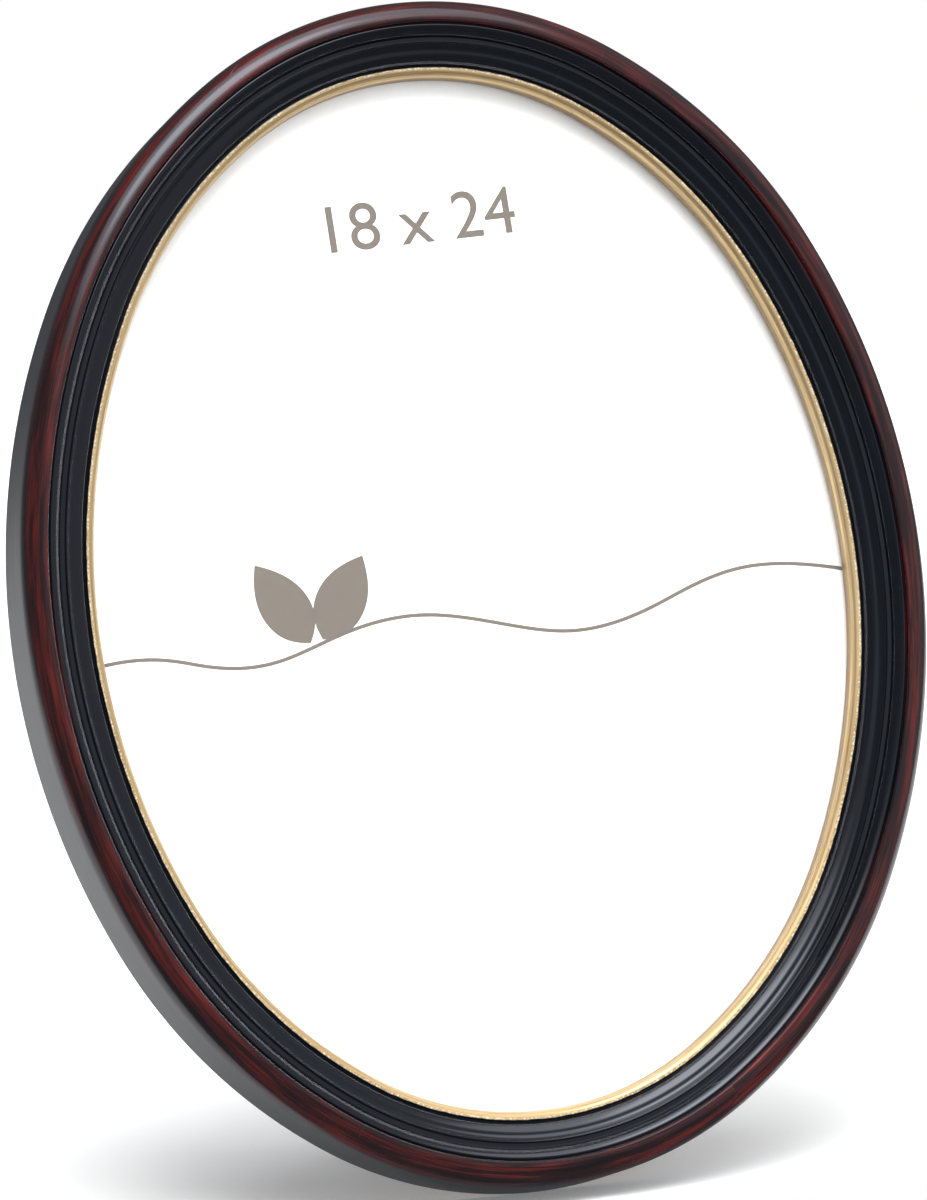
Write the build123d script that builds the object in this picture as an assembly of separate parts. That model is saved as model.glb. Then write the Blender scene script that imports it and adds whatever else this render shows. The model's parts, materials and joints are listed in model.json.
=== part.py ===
from build123d import *
from math import atan2, cos, degrees, radians, sin, sqrt, tan
import os

# Oval picture frame that stands on a table, leaning back on a hinged strut.
# Every piece is drawn in the frame's own lying position: x to the right, y up the picture,
# z out of the front, with z = 0 in the plane of the sight edge. At the end all pieces are
# leaned back together and set on the table, with +Z up and the front towards -Y.
# All lengths are in millimetres and all angles in degrees.

# Picture opening
sight_width = 170.0
sight_height = 230.0
flank_end_angle = 26.0
shoulder_end_angle = 56.0

# Moulding section, from the sight edge outwards
moulding_width = 16.8
lip_thickness = 2.4
gilt_width = 2.1
gilt_rise = 2.3
quirk_width = 0.4
quirk_drop = 0.35
ridge_offset = 4.65
ridge_height = 3.9
groove_offset = 7.0
groove_height = 5.0
groove_width = 1.8
groove_rise = 0.4
groove_depth = 0.4
shoulder_offset = 10.75
shoulder_height = 6.85
bead_offset = 11.3
bead_foot_height = 6.3
bead_radius = 5.0
bead_top_height = 7.5
bead_steps = 6
back_chamfer = 0.8
rabbet_width = 5.5
step_width = 3.5
gilt_swell_shares = ((0.20, 0.70), (0.55, 0.97))
ridge_swell_shares = ((0.38, 0.66),)
cove_sag_shares = ((0.52, 0.10),)
groove_floor_shares = (0.20, 0.72)
shoulder_swell_shares = ((0.46, 0.66),)
bead_quirk_shares = ((0.20, 0.70),)

# Finger joints between the four pieces of wood
joint_angle = 60.0
finger_length = 7.0
finger_count = 3
finger_tip_share = 0.12

# Layers held in the rabbet, front to back
glass_thickness = 2.0
sheet_thickness = 0.3
card_thickness = 1.5
foam_thickness = 6.0
board_thickness = 3.0
layer_clearance = 0.5

# Turn buttons and their screws
button_angles = (35.0, 0.0, -35.0, 215.0, 180.0, 145.0)
button_reach = 14.0
button_eye_radius = 4.0
button_tip_radius = 3.2
button_thickness = 1.2
button_clearance = 0.25
button_screw_offset = 11.8
screw_radius = 1.3
screw_fit = 0.08
screw_head_radius = 3.0
screw_head_height = 1.5
screw_length = 9.0
screw_point = 2.2

# Strut hinge
lean_angle = 14.0
open_angle = 20.0
hinge_height = 58.0
leaf_thickness = 1.0
pin_radius = 1.15
pin_fit = 0.05
pin_head_radius = 1.8
pin_head_height = 0.7
board_leaf_width = 38.0
board_leaf_length = 22.0
strut_leaf_width = 26.0
strut_leaf_length = 34.0
middle_knuckle_width = 17.0
knuckle_gap = 0.3
leaf_corner_radius = 2.5
stop_clearance = 0.3
leaf_rivet_spacing = 24.0
leaf_rivet_inset = 6.0
strut_rivet_spacing = 14.0

# Rivets of the hinge and hanger
rivet_radius = 1.6
rivet_fit = 0.05
rivet_head_radius = 3.1
rivet_head_height = 1.1
rivet_tail_radius = 2.3
rivet_tail_depth = 0.7

# Strut
strut_thickness = 3.0
strut_top_width = 32.0
strut_foot_width = 50.0
strut_top_gap = 0.8
strut_top_radius = 4.0
toe_width = 12.0
arch_height = 6.0

# Hanger for a wall hook, above the hinge leaf on the board
hanger_gap = 12.5
hanger_width = 9.0
hanger_length = 10.5
hanger_thickness = 0.8
hanger_corner_radius = 2.0
hanger_rivet_drop = 6.2
ring_wire_radius = 0.9
ring_fit = 0.06
ring_width = 16.0
ring_length = 13.0
ring_corner_radius = 2.2

# Where the flat top of every rivet and screw head starts
head_top_share = 0.62

# How far every cutting body runs past what it cuts
overrun = 2.0

# Levels and places that follow from the sizes above
half_width = sight_width / 2
half_height = sight_height / 2
glass_front = -lip_thickness
sheet_front = glass_front - glass_thickness
card_front = sheet_front - sheet_thickness
foam_front = card_front - card_thickness
board_front = foam_front - foam_thickness
frame_back = board_front - board_thickness
board_edge = rabbet_width + step_width
knuckle_radius = pin_radius + pin_fit + leaf_thickness
hinge_depth = frame_back - knuckle_radius
eye_radius = ring_wire_radius + ring_fit + hanger_thickness
eye_depth = frame_back - eye_radius
hanger_height = hinge_height + board_leaf_length + hanger_gap + hanger_length
bead_centre_offset = moulding_width - bead_radius
bead_centre_height = bead_top_height - bead_radius


# The oval is built of twelve arcs that meet without a corner and follow a true ellipse.

def ellipse_curvature_radius(angle):
    spread = (half_width * cos(radians(angle))) ** 2 + (half_height * sin(radians(angle))) ** 2
    return (half_width * half_height) ** 2 / spread ** 1.5


def arc_radii():
    """Flank, shoulder and crown radii of the sight oval."""
    flank = radians(flank_end_angle)
    shoulder = radians(shoulder_end_angle)
    shoulder_radius = ellipse_curvature_radius((flank_end_angle + shoulder_end_angle) / 2)
    across = half_width - shoulder_radius * (cos(flank) - cos(shoulder))
    along = half_height - shoulder_radius * (sin(shoulder) - sin(flank))
    flank_x, crown_x = 1 - cos(flank), cos(shoulder)
    flank_y, crown_y = sin(flank), 1 - sin(shoulder)
    whole = flank_x * crown_y - crown_x * flank_y
    flank_radius = (across * crown_y - crown_x * along) / whole
    crown_radius = (flank_x * along - across * flank_y) / whole
    return flank_radius, shoulder_radius, crown_radius


flank_radius, shoulder_radius, crown_radius = arc_radii()
flank_centre = Vector(half_width - flank_radius, 0)
shoulder_centre = flank_centre + Vector(flank_radius - shoulder_radius, 0).rotate(Axis.Z, flank_end_angle)
crown_centre = Vector(0, half_height - crown_radius)


def oval_arcs():
    """Centre, radius, start angle and swept angle of each arc of the sight oval."""
    flank, shoulder = flank_end_angle, shoulder_end_angle
    turn = shoulder - flank
    arcs = []
    for side in (0, 180):
        flip = -1 if side else 1
        arcs.append((flank_centre * flip, flank_radius, side - flank, 2 * flank))
        arcs.append((shoulder_centre * flip, shoulder_radius, side + flank, turn))
        arcs.append((crown_centre * flip, crown_radius, side + shoulder, 180 - 2 * shoulder))
        mirrored = Vector(-shoulder_centre.X, shoulder_centre.Y) * flip
        arcs.append((mirrored, shoulder_radius, side + 180 - shoulder, turn))
    return arcs


def oval_plate(offset, front, thickness):
    """Flat oval plate, its edge at an offset from the sight edge, behind the level of its front."""
    edges = [CenterArc(centre, radius + offset, start, sweep) for centre, radius, start, sweep in oval_arcs()]
    return extrude(Pos(0, 0, front) * make_face(edges), -thickness)


def oval_place(angle, offset):
    """Point on the oval where its outward direction has this angle."""
    for centre, radius, start, sweep in oval_arcs():
        if 0 <= (angle - start) % 360 <= sweep:
            return centre + Vector(radius + offset, 0).rotate(Axis.Z, angle)


# Moulding

def moulding_section(radius):
    """Face of the section in the XZ plane, its sight edge at this radius from the Z axis."""

    def at(offset, height):
        return Vector(radius + offset, 0, height)

    def between(start, end, along_share, up_share):
        span = end - start
        return start + Vector(span.X * along_share, 0, span.Z * up_share)

    sight_edge = at(0, 0)
    gilt_edge = at(gilt_width, gilt_rise)
    quirk = at(gilt_width + quirk_width, gilt_rise - quirk_drop)
    ridge = at(ridge_offset, ridge_height)
    groove_start = at(groove_offset, groove_height)
    groove_end = at(groove_offset + groove_width, groove_height + groove_rise)
    shoulder = at(shoulder_offset, shoulder_height)
    bead_foot = at(bead_offset, bead_foot_height)
    bead_centre = at(bead_centre_offset, bead_centre_height)
    bead_top = at(bead_centre_offset, bead_top_height)
    lip = [at(0, glass_front), sight_edge]
    lip += [between(sight_edge, gilt_edge, *share) for share in gilt_swell_shares]
    lip += [gilt_edge, quirk]
    lip += [between(quirk, ridge, *share) for share in ridge_swell_shares]
    slope = [ridge]
    slope += [between(ridge, groove_start, *share) for share in cove_sag_shares]
    slope += [groove_start]
    slope += [at(groove_offset + groove_width * share, groove_height - groove_depth) for share in groove_floor_shares]
    slope += [groove_end]
    slope += [between(groove_end, shoulder, *share) for share in shoulder_swell_shares]
    slope += [shoulder, bead_foot]
    slope += [between(bead_foot, bead_top, *share) for share in bead_quirk_shares]
    bead = []
    for step in range(bead_steps + 1):
        turn = radians(90 * step / bead_steps)
        bead.append(bead_centre + Vector(sin(turn), 0, cos(turn)) * bead_radius)
    back = [
        at(moulding_width, frame_back + back_chamfer),
        at(moulding_width - back_chamfer, frame_back),
        at(board_edge, frame_back),
        at(board_edge, board_front),
        at(rabbet_width, board_front),
        at(rabbet_width, glass_front),
    ]
    return make_face(Polyline(*lip, *slope, *bead, *back, close=True))


def moulding_arc(centre, radius, start, sweep):
    """Length of moulding that follows one arc of the oval."""
    solid = revolve(moulding_section(radius), Axis.Z, sweep)
    return Pos(centre.X, centre.Y, 0) * Rot(0, 0, start) * solid


def finger_half():
    """Everything beyond the upper right joint, with its fingers, as one cutting block."""
    depth = bead_top_height - frame_back
    pitch = depth / finger_count
    tip = pitch * finger_tip_share
    reach = half_height
    tongue = finger_length / 2
    points = [(reach, frame_back - overrun), (-tongue, frame_back - overrun)]
    for number in range(finger_count):
        floor = frame_back + number * pitch
        points.append((-tongue, floor + tip))
        points.append((tongue, floor + pitch / 2 - tip))
        points.append((tongue, floor + pitch / 2 + tip))
        points.append((-tongue, floor + pitch - tip))
    points.append((-tongue, bead_top_height + overrun))
    points.append((reach, bead_top_height + overrun))
    outward = Vector(1, 0).rotate(Axis.Z, joint_angle)
    along = Vector(0, 1).rotate(Axis.Z, joint_angle)
    joint_plane = Plane(origin=oval_place(joint_angle, 0), x_dir=along, z_dir=outward)
    return extrude(joint_plane * make_face(Polyline(*points, close=True)), reach, both=True)


def moulding_pieces():
    """Crown and flank pieces of the moulding, finger-jointed to each other."""
    beyond = finger_half()
    slack = degrees(atan2(finger_length, crown_radius))
    end = joint_angle + slack
    crown = moulding_arc(crown_centre, crown_radius, joint_angle - slack, 180 - 2 * joint_angle + 2 * slack)
    crown = crown & beyond & mirror(beyond, Plane.YZ)
    lower_crown = Vector(crown_centre.X, -crown_centre.Y)
    lower_shoulder = Vector(shoulder_centre.X, -shoulder_centre.Y)
    turn = shoulder_end_angle - flank_end_angle
    flank = moulding_arc(flank_centre, flank_radius, -flank_end_angle, 2 * flank_end_angle)
    flank += moulding_arc(shoulder_centre, shoulder_radius, flank_end_angle, turn)
    flank += moulding_arc(lower_shoulder, shoulder_radius, -shoulder_end_angle, turn)
    flank += moulding_arc(crown_centre, crown_radius, shoulder_end_angle, end - shoulder_end_angle)
    flank += moulding_arc(lower_crown, crown_radius, -end, end - shoulder_end_angle)
    flank = flank - beyond - mirror(beyond, Plane.XZ)
    for angle in button_angles[:3]:
        place = oval_place(angle, button_screw_offset)
        depth = screw_length + screw_fit
        flank -= Pos(place.X, place.Y, frame_back + depth / 2) * Cylinder(screw_radius + screw_fit, depth)
    return crown, flank


# Turn buttons, each drawn at the Z axis with its underside at z = 0 and its tip towards -X

def turned(points):
    """Solid of revolution about Z from radius and height pairs that start and end on the axis."""
    corners = [Vector(radius, 0, height) for radius, height in points]
    return revolve(make_face(Polyline(*corners, close=True)), Axis.Z)


def raised_head(radius, height):
    """Low head on the plane z = 0, drawn in towards its flat top at this height."""
    return turned([(0, 0), (radius, 0), (radius * head_top_share, height), (0, height)])


def turn_button():
    tip = button_reach
    lean_out = degrees(atan2(button_eye_radius - button_tip_radius, tip)) + 90
    eye_side = Vector(button_eye_radius, 0).rotate(Axis.Z, lean_out)
    tip_side = Vector(-tip, 0) + Vector(button_tip_radius, 0).rotate(Axis.Z, lean_out)
    eye_foot = Vector(eye_side.X, -eye_side.Y)
    tip_foot = Vector(tip_side.X, -tip_side.Y)
    outline = [
        Line(eye_side, tip_side),
        ThreePointArc(tip_side, Vector(-tip - button_tip_radius, 0), tip_foot),
        Line(tip_foot, eye_foot),
        ThreePointArc(eye_foot, Vector(button_eye_radius, 0), eye_side),
    ]
    plate = extrude(make_face(outline), button_thickness)
    return plate - Pos(0, 0, button_thickness / 2) * Cylinder(screw_radius + screw_fit, button_thickness + overrun)


def button_screw():
    """Wood screw with its head's seat at z = 0 and its point towards +Z."""
    shank = turned([
        (0, 0),
        (screw_radius, 0),
        (screw_radius, screw_length - screw_point),
        (0, screw_length),
    ])
    return shank + Rot(180, 0, 0) * raised_head(screw_head_radius, screw_head_height)


def button_place(angle, depth):
    """Place on the moulding's back, turned so that the button's tip points into the oval."""
    place = oval_place(angle, button_screw_offset)
    return Pos(place.X, place.Y, depth) * Rot(0, 0, angle)


# Hinge and hanger, drawn with the pivot along the X axis and the board on the side of +Z

def knuckle(start, end, outer_radius, inner_radius):
    length = end - start
    tube = Cylinder(outer_radius, length) - Cylinder(inner_radius, length + overrun)
    return Pos((start + end) / 2, 0, 0) * Rot(0, 90, 0) * tube


def leaf_plate(width, start, end, near, thickness, corner_radius):
    """Flat leaf across the pivot from y = start to y = end, with its two far corners rounded."""
    length = abs(end - start)
    sheet = Rectangle(width, length)
    far = Axis.Y if end > start else Axis(origin=(0, 0, 0), direction=(0, -1, 0))
    sheet = fillet(sheet.vertices().sort_by(far)[-2:], corner_radius)
    return extrude(Pos(0, (start + end) / 2, near) * sheet, thickness)


def rivet(grip):
    """Rivet with its head's seat at z = 0 and its set tail flush at z = grip."""
    body = turned([
        (0, 0),
        (rivet_radius, 0),
        (rivet_radius, grip - rivet_tail_depth),
        (rivet_tail_radius, grip),
        (0, grip),
    ])
    return body + Rot(180, 0, 0) * raised_head(rivet_head_radius, rivet_head_height)


def rivet_hole(grip):
    """Hole for a rivet, running past both faces of its grip."""
    radius = rivet_radius + rivet_fit
    hole = Pos(0, 0, grip / 2) * Cylinder(radius, grip + 2 * overrun)
    tail_seat = turned([
        (0, grip - rivet_tail_depth - rivet_fit),
        (radius, grip - rivet_tail_depth - rivet_fit),
        (rivet_tail_radius + rivet_fit, grip),
        (rivet_tail_radius + rivet_fit, grip + overrun),
        (0, grip + overrun),
    ])
    return hole + tail_seat


def board_leaf():
    """Hinge leaf on the board, with a knuckle at each side."""
    near = knuckle_radius - leaf_thickness
    inner = middle_knuckle_width / 2 + knuckle_gap
    outer = board_leaf_width / 2
    leaf = leaf_plate(board_leaf_width, 0, board_leaf_length, near, leaf_thickness, leaf_corner_radius)
    window_height = knuckle_radius + knuckle_gap
    leaf -= Pos(0, 0, knuckle_radius) * Box(2 * inner, 2 * window_height, 2 * leaf_thickness + overrun)
    bore = pin_radius + pin_fit
    leaf += knuckle(inner, outer, knuckle_radius, bore)
    leaf += knuckle(-outer, -inner, knuckle_radius, bore)
    for x in (-leaf_rivet_spacing / 2, leaf_rivet_spacing / 2):
        leaf -= Pos(x, board_leaf_length - leaf_rivet_inset, near) * rivet_hole(leaf_thickness + board_thickness)
    return leaf


def stop_heel_length():
    """How far the strut leaf runs past the pin, so that it meets the board leaf when opened."""
    near = pin_radius + pin_fit
    opening = radians(open_angle)
    return (near * (1 + cos(opening)) - stop_clearance) / sin(opening)


def strut_rivet_places():
    first = -strut_leaf_length + leaf_rivet_inset
    return [(0, first), (0, first + strut_rivet_spacing)]


def strut_leaf():
    """Hinge leaf on the strut, closed against the board, with its knuckle and stop heel."""
    near = -knuckle_radius
    foot = leaf_plate(strut_leaf_width, 0, -strut_leaf_length, near, leaf_thickness, leaf_corner_radius)
    side_width = strut_leaf_width - middle_knuckle_width
    clear = knuckle_radius + knuckle_gap
    for side in (-1, 1):
        x = side * (middle_knuckle_width + side_width) / 2
        foot -= Pos(x, 0, near) * Box(side_width, 2 * clear, 2 * leaf_thickness + overrun)
    heel_length = stop_heel_length()
    heel = Pos(0, heel_length / 2, near + leaf_thickness / 2) * Box(
        middle_knuckle_width, heel_length, leaf_thickness)
    half = middle_knuckle_width / 2
    leaf = foot + heel + knuckle(-half, half, knuckle_radius, pin_radius + pin_fit)
    for x, y in strut_rivet_places():
        leaf -= Pos(x, y, near) * rivet_hole(leaf_thickness + strut_thickness)
    return leaf


def hinge_pin():
    """Pin through all knuckles, headed over at both ends."""
    half = board_leaf_width / 2
    pin = Rot(0, 90, 0) * Cylinder(pin_radius, 2 * half)
    pin += Pos(half, 0, 0) * Rot(0, 90, 0) * raised_head(pin_head_radius, pin_head_height)
    return pin + Pos(-half, 0, 0) * Rot(0, -90, 0) * raised_head(pin_head_radius, pin_head_height)


# Strut, closed against the board: its outer face is under the leaf

rest_height = ((frame_back + back_chamfer) * sin(radians(lean_angle))
               - (half_height + moulding_width) * cos(radians(lean_angle)))


def strut_length():
    """Length from the pin to the table along the strut's middle plane."""
    lean = radians(lean_angle)
    splay = radians(open_angle - lean_angle)
    middle = strut_thickness / 2 + leaf_thickness - knuckle_radius
    pin_height = hinge_height * cos(lean) + hinge_depth * sin(lean)
    return (pin_height - middle * sin(splay) - rest_height) / cos(splay)


def strut_panel():
    """Tapered panel with two toes and an arched foot, bevelled to stand flat."""
    splay = abs(tan(radians(open_angle - lean_angle)))
    foot = -strut_length() - strut_thickness * splay
    top = -knuckle_radius - strut_top_gap
    half_top = strut_top_width / 2
    half_foot = strut_foot_width / 2
    toe_side = half_foot - toe_width
    outline = [
        Line((-half_top, top), (half_top, top)),
        Line((half_top, top), (half_foot, foot)),
        Line((half_foot, foot), (toe_side, foot)),
        ThreePointArc((toe_side, foot), (0, foot + arch_height), (-toe_side, foot)),
        Line((-toe_side, foot), (-half_foot, foot)),
        Line((-half_foot, foot), (-half_top, top)),
    ]
    face = make_face(outline)
    top_corners = face.vertices().sort_by(Axis.Y)[-2:]
    face = fillet(top_corners, strut_top_radius)
    outer_face = leaf_thickness - knuckle_radius
    panel = extrude(Pos(0, 0, outer_face) * face, strut_thickness)
    for x, y in strut_rivet_places():
        panel -= Pos(x, y, -knuckle_radius) * rivet_hole(leaf_thickness + strut_thickness)
    return panel


def opened(piece):
    """Swing a piece that is drawn closed out to the standing angle, at the hinge on the board."""
    return Pos(0, hinge_height, hinge_depth) * Rot(open_angle, 0, 0) * piece


def above_table(piece):
    """Cut a piece off at the table."""
    lean = radians(lean_angle)
    up = Vector(0, cos(lean), sin(lean))
    table = Plane(origin=up * rest_height, x_dir=(1, 0, 0), z_dir=up)
    return split(piece, bisect_by=table, keep=Keep.TOP)


# Hanger: a strap rolled round the straight side of a D-shaped ring

def hanger_strap():
    half = hanger_width / 2
    near = eye_radius - hanger_thickness
    strap = leaf_plate(hanger_width, 0, -hanger_length, near, hanger_thickness, hanger_corner_radius)
    strap += knuckle(-half, half, eye_radius, ring_wire_radius + ring_fit)
    return strap - Pos(0, -hanger_rivet_drop, near) * rivet_hole(hanger_thickness + board_thickness)


def d_ring():
    """Ring of round wire with its straight side on the X axis and its bow towards -Y."""
    half = ring_width / 2 - ring_wire_radius
    bow = -ring_length + half + ring_wire_radius
    corner = ring_corner_radius
    corner_share = 1 - sin(radians(45))
    path = Wire([
        Line((-half + corner, 0), (half - corner, 0)),
        ThreePointArc((half - corner, 0), (half - corner * corner_share, -corner * corner_share), (half, -corner)),
        Line((half, -corner), (half, bow)),
        ThreePointArc((half, bow), (0, bow - half), (-half, bow)),
        Line((-half, bow), (-half, -corner)),
        ThreePointArc((-half, -corner), (-half + corner * corner_share, -corner * corner_share), (-half + corner, 0)),
    ])
    start = Plane(origin=path @ 0, z_dir=path % 0)
    return sweep(start * Circle(ring_wire_radius), path=path)


# Assembly in the lying position

def build_nodes():
    nodes = {}
    crown, flank = moulding_pieces()
    nodes["moulding_top"] = crown
    nodes["moulding_right"] = flank
    nodes["moulding_bottom"] = mirror(crown, Plane.XZ)
    nodes["moulding_left"] = mirror(flank, Plane.YZ)

    layer_offset = rabbet_width - layer_clearance
    nodes["glass_pane"] = oval_plate(layer_offset, glass_front, glass_thickness)
    nodes["print_sheet"] = oval_plate(layer_offset, sheet_front, sheet_thickness)
    nodes["backing_card"] = oval_plate(layer_offset, card_front, card_thickness)
    nodes["foam_board"] = oval_plate(layer_offset, foam_front, foam_thickness)

    leaf_rivet = rivet(leaf_thickness + board_thickness)
    leaf_rivet_places = [
        Pos(x, hinge_height + board_leaf_length - leaf_rivet_inset, frame_back - leaf_thickness)
        for x in (-leaf_rivet_spacing / 2, leaf_rivet_spacing / 2)
    ]
    hanger_rivet_place = Pos(0, hanger_height - hanger_rivet_drop, frame_back - hanger_thickness)
    board = oval_plate(board_edge - layer_clearance, board_front, board_thickness)
    for place in leaf_rivet_places:
        board -= place * rivet_hole(leaf_thickness + board_thickness)
    board -= hanger_rivet_place * rivet_hole(hanger_thickness + board_thickness)
    nodes["back_board"] = board

    hinge_place = Pos(0, hinge_height, hinge_depth)
    nodes["hinge_board_leaf"] = hinge_place * board_leaf()
    nodes["board_leaf_rivets"] = Compound([place * leaf_rivet for place in leaf_rivet_places])
    nodes["hinge_pin"] = hinge_place * hinge_pin()
    nodes["hinge_strut_leaf"] = opened(strut_leaf())
    nodes["strut"] = above_table(opened(strut_panel()))
    strut_rivet = rivet(leaf_thickness + strut_thickness)
    nodes["strut_leaf_rivets"] = Compound([
        opened(Pos(x, y, -knuckle_radius) * strut_rivet) for x, y in strut_rivet_places()
    ])

    screw_seat = frame_back - button_thickness - 2 * button_clearance
    nodes["button_screws"] = Compound([
        button_place(angle, screw_seat) * button_screw() for angle in button_angles
    ])
    button_back = frame_back - button_clearance - button_thickness
    for number, angle in enumerate(button_angles, start=1):
        nodes[f"turn_button_{number}"] = button_place(angle, button_back) * turn_button()

    hanger_place = Pos(0, hanger_height, eye_depth)
    nodes["hanger_strap"] = hanger_place * hanger_strap()
    nodes["hanger_rivet"] = hanger_rivet_place * rivet(hanger_thickness + board_thickness)
    nodes["hanger_ring"] = hanger_place * Rot(lean_angle, 0, 0) * d_ring()
    return nodes


# Lean the frame back, set it on the table and centre it over the origin

def standing(nodes):
    leaned = {name: Pos(0, 0, -rest_height) * Rot(90 - lean_angle, 0, 0) * piece for name, piece in nodes.items()}
    box = Compound(list(leaned.values())).bounding_box()
    centre = Pos(-box.center().X, -box.center().Y, -box.min.Z)
    return {name: centre * piece for name, piece in leaned.items()}


os.makedirs("parts", exist_ok=True)
for name, piece in standing(build_nodes()).items():
    export_step(piece, f"parts/{name}.step")
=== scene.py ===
"""Oval picture frame standing on its strut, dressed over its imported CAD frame."""

import json
import logging
from dataclasses import dataclass
from enum import Enum
from math import asin, atan2, ceil, cos, degrees, hypot, radians, sin

import bmesh
import bpy
from mathutils import Matrix, Vector

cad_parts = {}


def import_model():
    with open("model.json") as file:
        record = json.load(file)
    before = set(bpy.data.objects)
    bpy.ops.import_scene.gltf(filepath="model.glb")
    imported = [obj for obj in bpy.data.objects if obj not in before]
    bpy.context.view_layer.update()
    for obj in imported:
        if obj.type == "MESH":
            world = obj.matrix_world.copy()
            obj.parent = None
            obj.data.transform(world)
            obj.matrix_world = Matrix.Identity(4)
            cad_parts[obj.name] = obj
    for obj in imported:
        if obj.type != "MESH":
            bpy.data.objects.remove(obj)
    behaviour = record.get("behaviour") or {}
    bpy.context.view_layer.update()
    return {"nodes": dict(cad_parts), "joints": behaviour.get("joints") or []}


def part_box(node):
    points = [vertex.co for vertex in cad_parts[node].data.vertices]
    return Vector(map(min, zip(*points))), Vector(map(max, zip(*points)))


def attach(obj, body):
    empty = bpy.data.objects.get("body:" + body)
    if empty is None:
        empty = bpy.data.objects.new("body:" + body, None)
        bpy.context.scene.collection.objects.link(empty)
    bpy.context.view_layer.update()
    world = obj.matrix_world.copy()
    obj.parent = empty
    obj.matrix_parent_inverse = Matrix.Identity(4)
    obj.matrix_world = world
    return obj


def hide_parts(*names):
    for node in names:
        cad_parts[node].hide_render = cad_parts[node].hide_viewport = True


MM = 0.001
USUAL_NOISE = (0.3, 0.7)  # values that most of a noise pattern lies within
ROUND_CREASE = 35.0  # degrees past which an edge of a round fitting stays sharp
AXIS_MERGE = 0.001  # millimetres

Pair = tuple[float, float]
Triple = tuple[float, float, float]
Node = bpy.types.Node
Object = bpy.types.Object
Mesh = bmesh.types.BMesh
Vert = bmesh.types.BMVert
Edge = bmesh.types.BMEdge
Face = bmesh.types.BMFace

log = logging.getLogger("oval_frame")


class Coating(Enum):
    """Bright coatings found on the small fittings, each by its worn, common and bright tone."""

    ZINC = ("#7F8285", "#A9ADB0", "#C4C8CA")
    NICKEL = ("#8C8880", "#B5B0A6", "#D2CDC2")
    BRASS = ("#8A6E3C", "#B9985A", "#D6BA7C")


def linear(code: str) -> tuple[float, float, float, float]:
    """Turn an sRGB hex colour into Blender's linear colour.

    Args:
        code: a hash and six hex digits.

    Returns:
        Red, green, blue and alpha, linear.
    """
    shares = [int(code[place:place + 2], 16) / 255 for place in (1, 3, 5)]
    light = [share / 12.92 if share <= 0.04045 else ((share + 0.055) / 1.055) ** 2.4 for share in shares]
    return (*light, 1.0)


@dataclass(frozen=True)
class Drawing:
    """Node tree of a material or world while it is drawn."""

    tree: bpy.types.NodeTree

    def add(self, kind: str, inputs: dict | tuple = (), stops: tuple = (), **settings: object) -> Node:
        """Add one node with its settings, values and links.

        Args:
            kind: Blender's name of the node type, without its first word ShaderNode.
            inputs: value, hex colour, node or output socket of each input, in order or by name or number.
            stops: place and hex colour of each stop, where the node holds a colour ramp.
            settings: the node's own settings by name.

        Returns:
            The new node.
        """
        node = self.tree.nodes.new(f"ShaderNode{kind}")
        for name, value in settings.items():
            setattr(node, name, value)
        for name, value in inputs.items() if isinstance(inputs, dict) else enumerate(inputs):
            if isinstance(value, Node):
                value = next(output for output in value.outputs if output.enabled)
            if isinstance(value, bpy.types.NodeSocket):
                self.tree.links.new(value, node.inputs[name])
            else:
                node.inputs[name].default_value = linear(value) if isinstance(value, str) else value
        for number, (place, code) in enumerate(stops):
            elements = node.color_ramp.elements
            element = elements[number] if number < len(elements) else elements.new(place)
            element.position = place
            element.color = linear(code)
        return node

    def grain(self, source: object, size: Triple, detail: float = 3.0, shift: float = 0.0) -> Node:
        """Uneven pattern of a real size.

        Args:
            source: node or output socket of coordinates in metres.
            size: length of one patch along each axis, in millimetres.
            detail: how many finer layers the pattern has.
            shift: moves the pattern, so that two of one size differ.

        Returns:
            Noise node whose value is mostly within USUAL_NOISE.
        """
        placed = self.add("Mapping", {
            "Vector": source,
            "Location": (shift, shift * 0.7, shift * 1.3),
            "Scale": tuple(1 / (length * MM) for length in size),
        })
        return self.add("TexNoise", {"Vector": placed, "Scale": 1.0, "Detail": detail})


# Finishes


@dataclass(frozen=True)
class Finish:
    """A finish that is made once and worn by any number of pieces."""

    name: str = "finish"

    def material(self) -> bpy.types.Material:
        """Give the finish's material, making it the first time.

        Returns:
            The material.
        """
        found = bpy.data.materials.get(self.name)
        if found is not None:
            return found
        made = bpy.data.materials.new(self.name)
        made.use_nodes = True
        made.node_tree.nodes.clear()
        draw = Drawing(made.node_tree)
        shader = draw.add("BsdfPrincipled", self.paint(draw))
        draw.add("OutputMaterial", {"Surface": shader})
        return made

    def paint(self, draw: Drawing) -> dict[str, object]:
        """Draw the finish.

        Args:
            draw: the material's drawing.

        Returns:
            Value or node for each input of the shader that the finish sets.
        """
        raise NotImplementedError


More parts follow.
